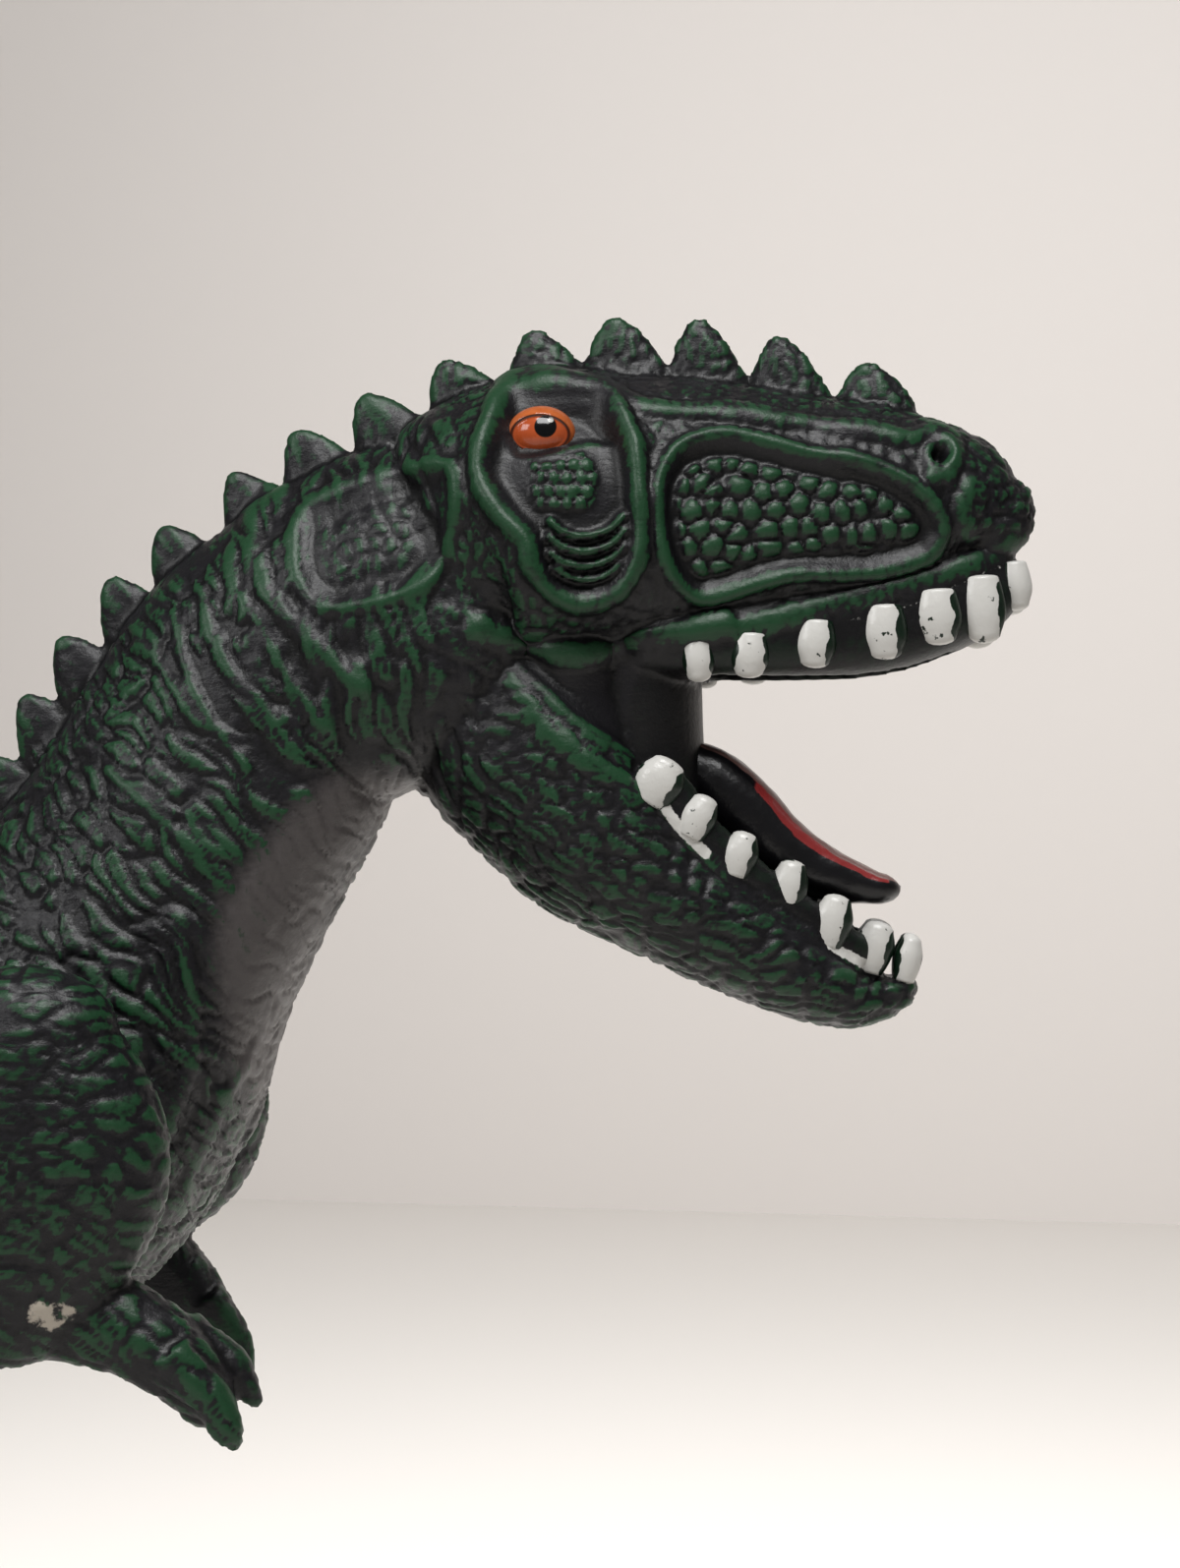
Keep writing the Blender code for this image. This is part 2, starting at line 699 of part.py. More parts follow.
def crest(skull, trunk):
    found = []
    for k, (station, size) in enumerate(SKULL_SPINE_SHARES):
        found.append(crest_spine(f"skull_spine_{k}", skull, station, size, -1))
    return found + spine_row(
        "trunk_spine", trunk, TRUNK_SPINES_FROM_SHARE, TRUNK_SPINES_TO_SHARE, TRUNK_SPINE_COUNT,
        TRUNK_SPINE_SIZE_SHARES,
    )


def spine_row(word, rows, first, last, count, sizes):
    """Spines spaced evenly along the rows, shrinking from the first size to the last."""
    found = []
    for k, station in enumerate(even_stations(rows, first, last, count)):
        size = sizes[0] + (sizes[1] - sizes[0]) * k / (count - 1)
        found.append(crest_spine(f"{word}_{k}", rows, station, size, 1))
    return found


def jaw_band(name, jaw, stations, lift, half_height, inset, squares):
    """A tube along the jaw's upper edge, lifted over it and narrower than it by the inset."""
    rows = []
    for station in stations:
        centre, _, up, _ = frame_at(jaw, station, -1)
        _, high, wide = blend_rows(jaw, station)
        rows.append((centre + up * (high + lift), half_height, max(wide - inset, TOOTH_ROOT)))
    rows = [(rows[0][0], 0, 0)] + rows[1:-1] + [(rows[-1][0], 0, 0)]
    return swell(name, rows, 8, 12, squares=squares, flip=-1)


def teeth(gum, jaw, side, word):
    """The upper teeth on the outer face of their gum, the lower ones along the jaw's edge."""
    found = []
    for k, station in enumerate(UPPER_TOOTH_SHARES):
        centre, tangent, up, _ = frame_at(gum, station, -1)
        wide = blend_rows(gum, station)[2]
        spot = centre + ACROSS * side * (wide - TOOTH_WIDTH * TOOTH_SEAT_SHARE)
        found.append(tooth(f"upper_tooth_{word}_{k}", spot, -up, tangent, UPPER_TOOTH_LENGTH))
    for k, station in enumerate(LOWER_TOOTH_SHARES):
        centre, tangent, up, _ = frame_at(jaw, station, -1)
        _, high, wide = blend_rows(jaw, station)
        spot = centre + up * high * LOWER_TOOTH_FOOT_SHARE
        spot += ACROSS * side * (wide - TOOTH_WIDTH * LOWER_TOOTH_SEAT_SHARE)
        found.append(tooth(f"lower_tooth_{word}_{k}", spot, up, tangent, LOWER_TOOTH_LENGTH))
    return found


def ball(name, centre, radius, sides=16):
    shape = bmesh.new()
    bmesh.ops.create_uvsphere(shape, u_segments=sides, v_segments=sides // 2, radius=radius)
    bmesh.ops.translate(shape, vec=centre, verts=shape.verts)
    return close(shape, name)


# Pieces

def add_trunk(root, trunk, skull, jaw, joints):
    """The head, neck and trunk as one hollow skin."""
    skin = swell(
        "trunk_skin", trunk, 16, 20, squares=TRUNK_SQUARE_SHARES, egg=TRUNK_EGG_SHARE
    )
    head = swell(
        "skull_form", skull, 13, 16, squares=SKULL_SQUARE_SHARES, egg=SKULL_EGG_SHARE, flip=-1
    )
    trees = skin_map([skin, head])
    gum = head_rows(GUM_SHARES)
    grown = [
        head,
        swell("jaw_form", jaw, 10, 12, squares=JAW_SQUARE_SHARES, egg=JAW_EGG_SHARE, flip=-1),
        swell("cheek_form", head_rows(CHEEK_SHARES), 5, 16),
        swell("gum_form", gum, 9, 12, squares=GUM_SQUARE_SHARES, flip=-1),
        jaw_band(
            "jaw_gum", jaw, JAW_GUM_STATION_SHARES, JAW_GUM_LIFT, JAW_GUM_HALF_HEIGHT,
            JAW_GUM_INSET, GUM_SQUARE_SHARES,
        ),
        swell("throat_wall", head_rows(THROAT_WALL_SHARES), 5, 12),
    ]
    grown += crest(skull, trunk)
    centre, axis, _, _ = frame_at(trunk, SOCKET_ROW_COUNT)
    core = core_tube("trunk_core", trunk, SKIN)
    beyond = TRUNK_DEPTH * 2
    carve(core, "DIFFERENCE", [
        drum("core_end", centre, axis, -SOCKET_LIP, beyond, TRUNK_DEPTH)
    ], "trimmed")
    _, high, wide = blend_rows(trunk, SOCKET_ROW_COUNT)
    inner = [
        drum("rear_cut", centre, axis, 0, beyond, TRUNK_DEPTH),
        core,
        straight("socket_hole", centre, axis, -SOCKET_LIP * 2, SOCKET_LIP, high, wide,
                 SKIN + SOCKET_LIP, 20),
        swell("skull_core", head_rows(SKULL_CORE_SHARES), 5, 14, flip=-1),
        swell("palate", head_rows(PALATE_SHARES), 7, 12, squares=GUM_SQUARE_SHARES, flip=-1),
        jaw_band(
            "trough", jaw, TROUGH_STATION_SHARES, TROUGH_LIFT, TROUGH_DEPTH + TROUGH_LIFT,
            GUM_WALL, TROUGH_SQUARE_SHARES,
        ),
    ]
    pad = TRUNK_WIDTH / 2 + PAD_PROUD
    for side, word in SIDES:
        for spot, pad_radius, disc_radius, joint in joints:
            flank = ACROSS * side
            grown.append(drum(
                f"{joint}_pad_{word}", spot, flank, pad * PAD_ROOT_SHARE, pad, pad_radius, 20,
                PAD_FLARE_SHARE,
            ))
            inner.append(drum(
                f"{joint}_pocket_{word}", spot, flank, pad * POCKET_ROOT_SHARE, pad - SKIN,
                disc_radius + SKIN / 2,
            ))
            inner.append(drum(
                f"{joint}_hole_{word}", spot, flank, pad * PAD_ROOT_SHARE, pad + SKIN,
                STEM_RADIUS + GAP,
            ))
        socket = lay(trees, head_point(*EYE_SOCKET_SHARE), side)
        hollow = ball(
            f"eye_socket_{word}",
            socket + ACROSS * side * (EYE_SOCKET_RADIUS - RECESS_DEPTH), EYE_SOCKET_RADIUS, 20,
        )
        eye = lay(trees, head_point(*EYE_SHARE), side, EYE_RADIUS - EYE_STAND)
        carve(hollow, "DIFFERENCE", [ball(f"eye_{word}", eye, EYE_RADIUS)], "around_eye")
        inner.append(hollow)
        loop = [head_point(x, z) for x, z in PANEL_RIM_SHARES]
        middle = sum(loop, Vector()) / len(loop)
        panel = [middle.lerp(point, PANEL_SHRINK_SHARE) for point in loop]
        inner.append(plate(f"panel_{word}", panel, trees, side, RECESS_DEPTH / 2, OVERRUN))
        nostril = lay(trees, head_point(*NOSTRIL_SHARE), side)
        inner.append(ball(f"nostril_{word}", nostril, NOSTRIL_RADIUS, 10))
        for name, shares, radius, closed in (
            ("eye_rim", EYE_RIM_SHARES, RIM_RADIUS, True),
            ("panel_rim", PANEL_RIM_SHARES, RIM_RADIUS, True),
            ("nasal_ridge", NASAL_RIDGE_SHARES, RIM_RADIUS, False),
            ("cheek_ledge", LEDGE_SHARES, LEDGE_RADIUS, False),
        ):
            grown.append(relief_line(f"{name}_{word}", shares, trees, side, radius, closed))
        grown += teeth(gum, jaw, side, word)
    place, down, depth = plug_place(trunk)
    inner.append(drum(
        "plug_seat", place, down, -(PLUG_HEAD_THICKNESS + GAP), OVERRUN, PLUG_HEAD_RADIUS + GAP
    ))
    inner.append(drum("plug_hole", place, down, -depth, OVERRUN, PLUG_STEM_RADIUS + GAP))
    carve(skin, "UNION", grown, "grown")
    carve(skin, "DIFFERENCE", inner, "hollowed")
    return dress(skin, "skin", root)


def core_tube(name, trunk, inset):
    """The trunk's hollow, or what fills it: both share the facets of one tube."""
    rows = [(trunk[CORE_SKIPPED_COUNT - 2][0], 0, 0)] + trunk[CORE_SKIPPED_COUNT:]
    return swell(
        name, rows, 10, 18, squares=TRUNK_SQUARE_SHARES, egg=TRUNK_EGG_SHARE, inset=inset
    )


def plug_place(trunk):
    """The outermost spot of the belly under the plug, the way out, and how deep its hole goes."""
    centre, _, up, _ = frame_at(trunk, PLUG_STATION_SHARE)
    high = blend_rows(trunk, PLUG_STATION_SHARE)[1]
    return centre - up * high, -up, PLUG_HOLE_DEPTH


def add_plug(root, trunk):
    place, down, _ = plug_place(trunk)
    sag = 2 * PLUG_BEAD_RADIUS ** 2 / TRUNK_DEPTH
    plug = drum("belly_plug", place, down, -PLUG_HEAD_THICKNESS, 0, PLUG_HEAD_RADIUS)
    under = SKIN + sag + GAP
    carve(plug, "UNION", [
        drum("plug_stem", place, down, -(under + PLUG_BEAD_THICKNESS / 2),
             -PLUG_HEAD_THICKNESS / 2, PLUG_STEM_RADIUS),
        drum("plug_bead", place, down, -(under + PLUG_BEAD_THICKNESS), -under,
             PLUG_BEAD_RADIUS),
    ], "stemmed")
    return dress(plug, "hard_plastic", root)


def add_filling(root, trunk, joints):
    """The packed fibre, cut clear of the joints, the plug and the tail's spigot."""
    fill = core_tube("trunk_filling", trunk, SKIN + 2 * GAP)
    centre, axis, _, _ = frame_at(trunk, SOCKET_ROW_COUNT)
    pad = TRUNK_WIDTH / 2 + PAD_PROUD
    place, down, _ = plug_place(trunk)
    cut = [
        drum("fill_end", centre, axis, -(SPIGOT_LENGTH + SKIN), TRUNK_DEPTH * 2, TRUNK_DEPTH),
        drum("fill_plug", place, down, -PLUG_CLEARANCE_DEPTH, OVERRUN, PLUG_HEAD_RADIUS + GAP),
    ]
    for side, word in SIDES:
        for spot, _, disc_radius, joint in joints:
            cut.append(drum(
                f"fill_{joint}_{word}", spot, ACROSS * side, stem_end(pad) - SKIN, pad + SKIN,
                disc_radius + SKIN,
            ))
    carve(fill, "DIFFERENCE", cut, "cleared")
    return dress(fill, "fibre", root)


def stem_end(pad):
    """How far from the middle a stud's inner end stands."""
    return pad - SKIN - WASHER_THICKNESS - LOCK_THICKNESS - 3 * GAP - STEM_TAIL


def add_tongue(root, jaw):
    rows = []
    for station, up_share, wide_share, lift in TONGUE_SHARES:
        centre, _, up, _ = frame_at(jaw, station, -1)
        high = blend_rows(jaw, station)[1]
        floor = high - TROUGH_DEPTH + TONGUE_CLEARANCE
        half = TONGUE_HALF_HEIGHT * up_share / 2
        middle = centre + up * (floor + half + lift * TONGUE_HALF_HEIGHT)
        rows.append((middle, half, TONGUE_HALF_WIDTH * wide_share))
    tongue = swell("tongue", rows, 9, 12, squares=TONGUE_SQUARE_SHARES, flip=-1)
    return dress(tongue, "tongue", root)


def add_tail(root, trunk):
    rows = tail_rows(trunk)
    centre, axis, _, _ = frame_at(trunk, SOCKET_ROW_COUNT)
    _, high, wide = blend_rows(trunk, SOCKET_ROW_COUNT)
    tail = swell(
        "tail_skin", rows, 17, 16, squares=TRUNK_SQUARE_SHARES, egg=TRUNK_EGG_SHARE
    )
    core_rows = [(rows[2][0], 0, 0)] + rows[2:9] + [(rows[9][0], 0, 0)]
    core = swell(
        "tail_core", core_rows, 7, 12, squares=TRUNK_SQUARE_SHARES, egg=TRUNK_EGG_SHARE,
        inset=SKIN,
    )
    carve(core, "DIFFERENCE", [
        drum("tail_core_end", centre, axis, -TRUNK_DEPTH, SKIN, TRUNK_DEPTH)
    ], "trimmed")
    carve(tail, "UNION", spine_row(
        "tail_spine", rows, TAIL_SPINES_FROM_SHARE, TAIL_SPINES_TO_SHARE, TAIL_SPINE_COUNT,
        TAIL_SPINE_SIZE_SHARES,
    ), "spined")
    reach = TRUNK_DEPTH * 2
    carve(tail, "DIFFERENCE", [
        drum("tail_front_cut", centre, axis, -reach, GAP, TRUNK_DEPTH),
        core,
        slab("tail_floor", Vector((-1, -1, -0.2)) * reach * 3, Vector((reach * 3, reach * 3, 0))),
    ], "cut")
    spigot = [
        straight("spigot", centre, axis, -SPIGOT_LENGTH, SKIN, high, wide,
                 SKIN + SOCKET_LIP + GAP, 18),
        straight("spigot_bead", centre, axis, -(SOCKET_LIP + GAP + BEAD_LENGTH),
                 -(SOCKET_LIP + GAP), high, wide, SKIN + SOCKET_LIP + GAP - BEAD_PROUD, 18),
    ]
    carve(tail, "UNION", spigot, "plugged")
    carve(tail, "DIFFERENCE", [
        straight("spigot_bore", centre, axis, -SPIGOT_LENGTH - SKIN, SKIN * 2, high, wide,
                 2 * SKIN + SOCKET_LIP + GAP, 18),
    ], "bored")
    return dress(tail, "skin", root)


def move_origin(thing, spot, parent):
    """Put the object's origin at the spot, in its parent's frame, leaving its faces in place."""
    thing.data.transform(Matrix.Translation(-spot))
    thing.location = spot if parent.type == "EMPTY" else Vector()


def add_arm(root, spot, side, word):
    """An arm beside its pad; the left one hangs further back."""
    back = LEFT_ARM_BACK if side > 0 else 0
    pad = TRUNK_WIDTH / 2 + PAD_PROUD
    face = pad + GAP
    middle = side * (face + ARM_LENGTH * ARM_UPPER_SHARES[2][3] * ARM_OUT_SHARE)
    upper = arm_rows(ARM_UPPER_SHARES, spot, middle, back)
    arm = swell(f"arm_{word}", upper, 6, 14)
    turned_in = middle - side * FOREARM_IN_SHARE * ARM_LENGTH
    grown = [swell(f"forearm_{word}", arm_rows(FOREARM_SHARES, spot, turned_in, back), 6, 9)]
    for k, (*points, radius, shift) in enumerate(FINGER_SHARES):
        rows = []
        for point, size in zip(points, FINGER_TAPER_SHARES):
            half = radius * size * ARM_LENGTH
            out = turned_in + side * shift * ARM_LENGTH
            rows.append((arm_point(spot, *point, out, back), half, half))
        rows.insert(0, (rows[0][0], 0, 0))
        grown.append(swell(f"finger_{word}_{k}", rows, 3, 8))
    core = swell(f"arm_core_{word}", upper, 5, 10, inset=SKIN)
    carve(core, "DIFFERENCE", [flank_block(f"arm_core_face_{word}", side, face + SKIN)], "flat")
    carve(arm, "UNION", grown, "grown")
    carve(arm, "DIFFERENCE", [
        flank_block(f"arm_face_{word}", side, face),
        core,
        drum(f"arm_hole_{word}", spot, ACROSS * side, pad * LIMB_HOLE_FROM_SHARE,
             face + 2 * SKIN, STEM_RADIUS + GAP),
    ], "cut")
    move_origin(arm, spot, root)
    return dress(arm, "skin", root)


def flank_block(name, side, outer):
    """A block that clears everything nearer the middle than the outer face."""
    reach = FIGURE_HEIGHT * 1.5
    low, high = sorted((-side * reach, side * outer))
    return slab(name, Vector((-reach, low, -reach)), Vector((reach, high, reach)))


def add_leg(root, spot, side, word):
    pad = TRUNK_WIDTH / 2 + PAD_PROUD
    face = pad + GAP
    middle = side * (face + LEG_CENTRE_SHARE * LEG_WIDTH)
    rows = leg_rows(middle)
    leg = swell(f"leg_{word}", rows, 13, 14)
    ankle = ANKLE_X_SHARE * FIGURE_HEIGHT
    toes = []
    for k, (angle, share) in enumerate(TOE_SPREAD_SHARES):
        turn = math.radians(angle)
        ahead = Vector((math.cos(turn), side * math.sin(turn), 0))
        foot = Vector((ankle, middle, 0))
        stations = []
        for along, radius in TOE_STATION_SHARES:
            size = TOE_RADIUS * radius
            centre = foot + ahead * TOE_LENGTH * share * along
            centre.z = size - SOLE_SINK
            stations.append((centre, size, size))
        tip = foot + ahead * TOE_LENGTH * share * TOE_TIP_SHARES[0]
        tip.z = TOE_RADIUS * TOE_TIP_SHARES[1]
        flip = -1 if abs(angle) < 90 else 1
        toes.append(swell(
            f"toe_{word}_{k}", [(stations[0][0], 0, 0)] + stations + [(tip, 0, 0)], 4, 8,
            flip=flip,
        ))
        claw = foot + ahead * TOE_LENGTH * share * CLAW_ROOT_SHARES[0]
        claw.z = TOE_RADIUS * CLAW_ROOT_SHARES[1]
        low = claw + ahead * CLAW_LENGTH
        low.z = CLAW_RADIUS * CLAW_TIP_SHARE
        bend, height, thickness = CLAW_BEND_SHARES
        mid = claw.lerp(low, bend)
        mid.z = claw.z * height
        claw_rows = [
            (claw - ahead * CLAW_RADIUS, 0, 0), (claw, CLAW_RADIUS, CLAW_RADIUS),
            (mid, CLAW_RADIUS * thickness, CLAW_RADIUS * thickness), (low, 0, 0),
        ]
        toes.append(swell(f"claw_{word}_{k}", claw_rows, 2, 6, flip=flip))
    core = swell(f"leg_core_{word}", rows[:8] + [(rows[8][0], 0, 0)], 7, 10, inset=SKIN)
    carve(core, "DIFFERENCE", [flank_block(f"leg_core_face_{word}", side, face + SKIN)], "flat")
    reach = FIGURE_HEIGHT
    hip_high = rows[LEG_INSIDE_COUNT][0].z
    inner = Vector((-reach, min(-side * reach, side * face), hip_high))
    outer = Vector((reach, max(-side * reach, side * face), reach))
    carve(leg, "UNION", toes, "toed")
    carve(leg, "DIFFERENCE", [
        slab(f"leg_face_{word}", inner, outer),
        slab(f"floor_{word}", Vector((-reach, -reach, -reach / 4)), Vector((reach, reach, 0))),
        core,
        drum(f"leg_hole_{word}", spot, ACROSS * side, pad * LIMB_HOLE_FROM_SHARE,
             face + 2 * SKIN, STEM_RADIUS + GAP),
    ], "cut")
    move_origin(leg, spot, root)
    return dress(leg, "skin", root)


def add_joint(root, limb, joint, spot, side, word, disc_radius):
    """The stud in the limb, and the washer and the lock clip inside the trunk."""
    flank = ACROSS * side
    pad = TRUNK_WIDTH / 2 + PAD_PROUD
    seat = pad + GAP + SKIN + GAP
    washer_at = pad - SKIN - GAP - WASHER_THICKNESS
    lock_at = washer_at - GAP - LOCK_THICKNESS
    end = stem_end(pad)
    stud = drum(f"{joint}_stud_{word}", spot, flank, seat, seat + DISC_THICKNESS, disc_radius)
    carve(stud, "UNION", [
        drum(f"{joint}_stem_{word}", spot, flank, end + STEM_TAIL / 2,
             seat + DISC_THICKNESS / 2, STEM_RADIUS),
        drum(f"{joint}_head_{word}", spot, flank, end, end + STEM_TAIL, STEM_RADIUS + SKIN / 2),
    ], "stemmed")
    washer = drum(
        f"{joint}_washer_{word}", spot, flank, washer_at, washer_at + WASHER_THICKNESS,
        disc_radius,
    )
    carve(washer, "DIFFERENCE", [
        drum(f"{joint}_washer_hole_{word}", spot, flank, pad * PAD_ROOT_SHARE, pad,
             STEM_RADIUS + GAP)
    ], "bored")
    lock = drum(
        f"{joint}_lock_{word}", spot, flank, lock_at, lock_at + LOCK_THICKNESS, LOCK_RADIUS
    )
    near, far = sorted((side * pad, side * pad * POCKET_ROOT_SHARE))
    slot = Vector((spot.x - STEM_RADIUS * LOCK_SLOT_SHARE, near, spot.z))
    slot_end = Vector((spot.x + STEM_RADIUS * LOCK_SLOT_SHARE, far, spot.z + LOCK_RADIUS * 2))
    carve(lock, "DIFFERENCE", [
        drum(f"{joint}_lock_hole_{word}", spot, flank, pad * PAD_ROOT_SHARE, pad,
             STEM_RADIUS + GAP),
        slab(f"{joint}_lock_slot_{word}", slot, slot_end),
    ], "opened")
    for thing in (stud, lock):
        move_origin(thing, spot, limb)
        dress(thing, "hard_plastic", limb)
    dress(washer, "hard_plastic", root)


def main():
    for thing in list(bpy.data.objects):
        bpy.data.objects.remove(thing, do_unlink=True)
    root = bpy.data.objects.new("figure", None)
    bpy.context.scene.collection.objects.link(root)
    trunk = trunk_rows()
    skull = head_rows(SKULL_SHARES)
    jaw = head_rows(JAW_SHARES)
    hip = trunk[HIP_ROW_COUNT][0]
    shoulder = Vector((
        SHOULDER_AT_SHARE[0] * FIGURE_HEIGHT, 0, SHOULDER_AT_SHARE[1] * FIGURE_HEIGHT
    ))
    joints = (
        (shoulder, SHOULDER_PAD_RADIUS, SHOULDER_DISC_RADIUS, "shoulder"),
        (hip, HIP_PAD_RADIUS, HIP_DISC_RADIUS, "hip"),
    )
    add_trunk(root, trunk, skull, jaw, joints)
    add_filling(root, trunk, joints)
    add_plug(root, trunk)
    add_tongue(root, jaw)
    add_tail(root, trunk)
    for side, word in SIDES:
        arm = add_arm(root, shoulder, side, word)
        leg = add_leg(root, hip, side, word)
        add_joint(root, arm, "shoulder", shoulder, side, word, SHOULDER_DISC_RADIUS)
        add_joint(root, leg, "hip", hip, side, word, HIP_DISC_RADIUS)
    for thing in bpy.data.objects:
        if thing.hide_render:
            thing.parent = root
    centre_on_floor(root)


def centre_on_floor(root):
    """Move the figure so that the middle of its foot print is the origin."""
    bpy.context.view_layer.update()
    graph = bpy.context.evaluated_depsgraph_get()
    corners = []
    for thing in bpy.data.objects:
        if thing.type == "MESH" and not thing.hide_render:
            built = thing.evaluated_get(graph)
            corners += [built.matrix_world @ vert.co for vert in built.to_mesh().vertices]
            built.to_mesh_clear()
    low = Vector([min(corner[k] for corner in corners) for k in range(3)])
    high = Vector([max(corner[k] for corner in corners) for k in range(3)])
    middle = (low + high) / 2
    root.location = (-middle.x, -middle.y, -low.z)


main()
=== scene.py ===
import json
import math

import bmesh
import bpy
import numpy as np
from mathutils import Matrix, Vector
from mathutils.bvhtree import BVHTree


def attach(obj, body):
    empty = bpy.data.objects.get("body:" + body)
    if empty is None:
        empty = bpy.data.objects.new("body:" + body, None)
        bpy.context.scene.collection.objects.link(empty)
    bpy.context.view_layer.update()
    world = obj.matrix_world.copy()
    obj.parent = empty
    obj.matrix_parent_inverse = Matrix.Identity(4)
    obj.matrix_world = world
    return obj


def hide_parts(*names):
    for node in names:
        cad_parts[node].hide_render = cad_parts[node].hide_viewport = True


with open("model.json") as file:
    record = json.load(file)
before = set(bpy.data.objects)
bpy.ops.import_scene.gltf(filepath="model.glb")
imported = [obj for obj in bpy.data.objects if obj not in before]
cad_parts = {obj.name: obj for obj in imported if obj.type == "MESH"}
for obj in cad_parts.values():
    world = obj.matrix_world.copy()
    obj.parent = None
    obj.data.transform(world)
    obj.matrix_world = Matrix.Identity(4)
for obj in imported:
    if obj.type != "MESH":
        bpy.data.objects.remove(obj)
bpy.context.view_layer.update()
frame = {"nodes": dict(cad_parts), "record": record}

MM = 0.001
ACROSS = Vector((0, 1, 0))
SIDES = ((-1, "right"), (1, "left"))

# The part's own sizes, as its source names them
FIGURE_HEIGHT = 372 * MM
TRUNK_DEPTH = 84 * MM
TRUNK_WIDTH = 76 * MM
HEAD_LENGTH = 104 * MM
HEAD_WIDTH = 57 * MM
TAIL_LENGTH = 252 * MM
ARM_LENGTH = 78 * MM
LEG_WIDTH = 34 * MM
GAP = 0.3 * MM
PAD_PROUD = 0.8 * MM
PAD = TRUNK_WIDTH / 2 + PAD_PROUD
HIP_PAD_RADIUS = 24 * MM
SHOULDER_PAD_RADIUS = 15 * MM
SHOULDER_AT_SHARE = (0.029, 0.608)
HEAD_AT_SHARE = (0.228, 0.823)

# Fineness of the moulded skin
VOXEL = 0.7 * MM
LIMB_VOXEL = 0.8 * MM

joints = {joint["name"]: joint for joint in frame["record"]["behaviour"]["joints"]}
SHOULDER = Vector(joints["shoulder_right"]["pos_m"])
HIP = Vector(joints["hip_right"]["pos_m"])
SHIFT = SHOULDER.x - SHOULDER_AT_SHARE[0] * FIGURE_HEIGHT

# The photograph's frame: its size, one pixel's size at the figure's middle, and the camera
FRAME_WIDE = 1200
FRAME_HIGH = 1595
PIXEL = 0.18 * MM
FLOOR_ROW = 2400
CAMERA_DISTANCE = 560 * MM
CAMERA_AZIMUTH = math.radians(4)
CAMERA_ELEVATION = math.radians(0)


def spot(px, py, y=0.0):
    """The place in the figure's middle plane that a pixel of the photograph shows."""
    return Vector((px * PIXEL + SHIFT, y, (FLOOR_ROW - py) * PIXEL))


TARGET = spot(FRAME_WIDE / 2, FRAME_HIGH / 2)
VIEW = Vector((
    -math.sin(CAMERA_AZIMUTH) * math.cos(CAMERA_ELEVATION),
    math.cos(CAMERA_AZIMUTH) * math.cos(CAMERA_ELEVATION),
    -math.sin(CAMERA_ELEVATION),
))
VIEW_RIGHT = VIEW.cross(Vector((0, 0, 1))).normalized()
VIEW_UP = VIEW_RIGHT.cross(VIEW)
EYE_POINT = TARGET - VIEW * CAMERA_DISTANCE


def seen(points):
    """Where the camera sees each point of the right side; the left side is mirrored first."""
    near = points * np.array((1, -1, 1))
    near = np.where(points[:, 1:2] > 0, near, points)
    arm = near - np.array(EYE_POINT)
    depth = arm @ np.array(VIEW)
    focal = CAMERA_DISTANCE / PIXEL
    return np.stack((
        FRAME_WIDE / 2 + focal * (arm @ np.array(VIEW_RIGHT)) / depth,
        FRAME_HIGH / 2 - focal * (arm @ np.array(VIEW_UP)) / depth,
    ), axis=1)


# The forms: x and z as shares of the figure's height or the head's length, then half depth
# and half width as shares of the sizes that they follow
TRUNK_SHARES = (
    (0.271, 0.898, 0, 0),
    (0.242, 0.885, 0.28, 0.27),
    (0.208, 0.866, 0.36, 0.31),
    (0.138, 0.826, 0.345, 0.31),
    (0.111, 0.784, 0.355, 0.33),
    (0.084, 0.738, 0.365, 0.36),
    (0.057, 0.695, 0.40, 0.395),
    (0.030, 0.654, 0.470, 0.44),
    (-0.010, 0.615, 0.520, 0.475),
    (-0.061, 0.586, 0.505, 0.495),
    (-0.126, 0.551, 0.485, 0.50),
    (-0.194, 0.521, 0.46, 0.485),
    (-0.262, 0.492, 0.39, 0.415),
    (-0.339, 0.462, 0.30, 0.325),
    (-0.372, 0.449, 0.26, 0.28),
    (-0.385, 0.444, 0, 0),
)
SOCKET_ROW = 13
SPIGOT_LENGTH = 11 * MM
SOCKET_LIP = 4 * MM
SKIN_WALL = 3 * MM
TRUNK_EGG_SHARE = 0.14
TRUNK_SQUARES = (2.1, 2.5)
SKULL_SHARES = (
    (-0.070, 0.243, 0, 0),
    (0.000, 0.270, 0.217, 0.41),
    (0.070, 0.301, 0.226, 0.475),
    (0.157, 0.306, 0.250, 0.50),
    (0.296, 0.308, 0.238, 0.455),
    (0.435, 0.310, 0.226, 0.395),
    (0.574, 0.310, 0.205, 0.345),
    (0.713, 0.322, 0.174, 0.30),
    (0.810, 0.325, 0.144, 0.262),
    (0.875, 0.318, 0.118, 0.228),
    (0.932, 0.290, 0.078, 0.170),
    (0.988, 0.262, 0, 0),
)
JAW_SHARES = (
    (-0.052, 0.017, 0, 0),
    (0.009, -0.026, 0.170, 0.33),
    (0.104, -0.113, 0.181, 0.385),
    (0.226, -0.261, 0.155, 0.39),
    (0.348, -0.362, 0.115, 0.36),
    (0.461, -0.437, 0.094, 0.32),
    (0.577, -0.501, 0.075, 0.27),
    (0.673, -0.543, 0.054, 0.21),
    (0.748, -0.543, 0.035, 0.14),
    (0.797, -0.527, 0, 0),
)
CHEEK_SHARES = (
    (0.157, 0.243, 0, 0),
    (0.183, 0.104, 0.139, 0.352),
    (0.205, -0.026, 0.120, 0.33),
    (0.243, -0.157, 0.105, 0.335),
    (0.261, -0.261, 0, 0),
)
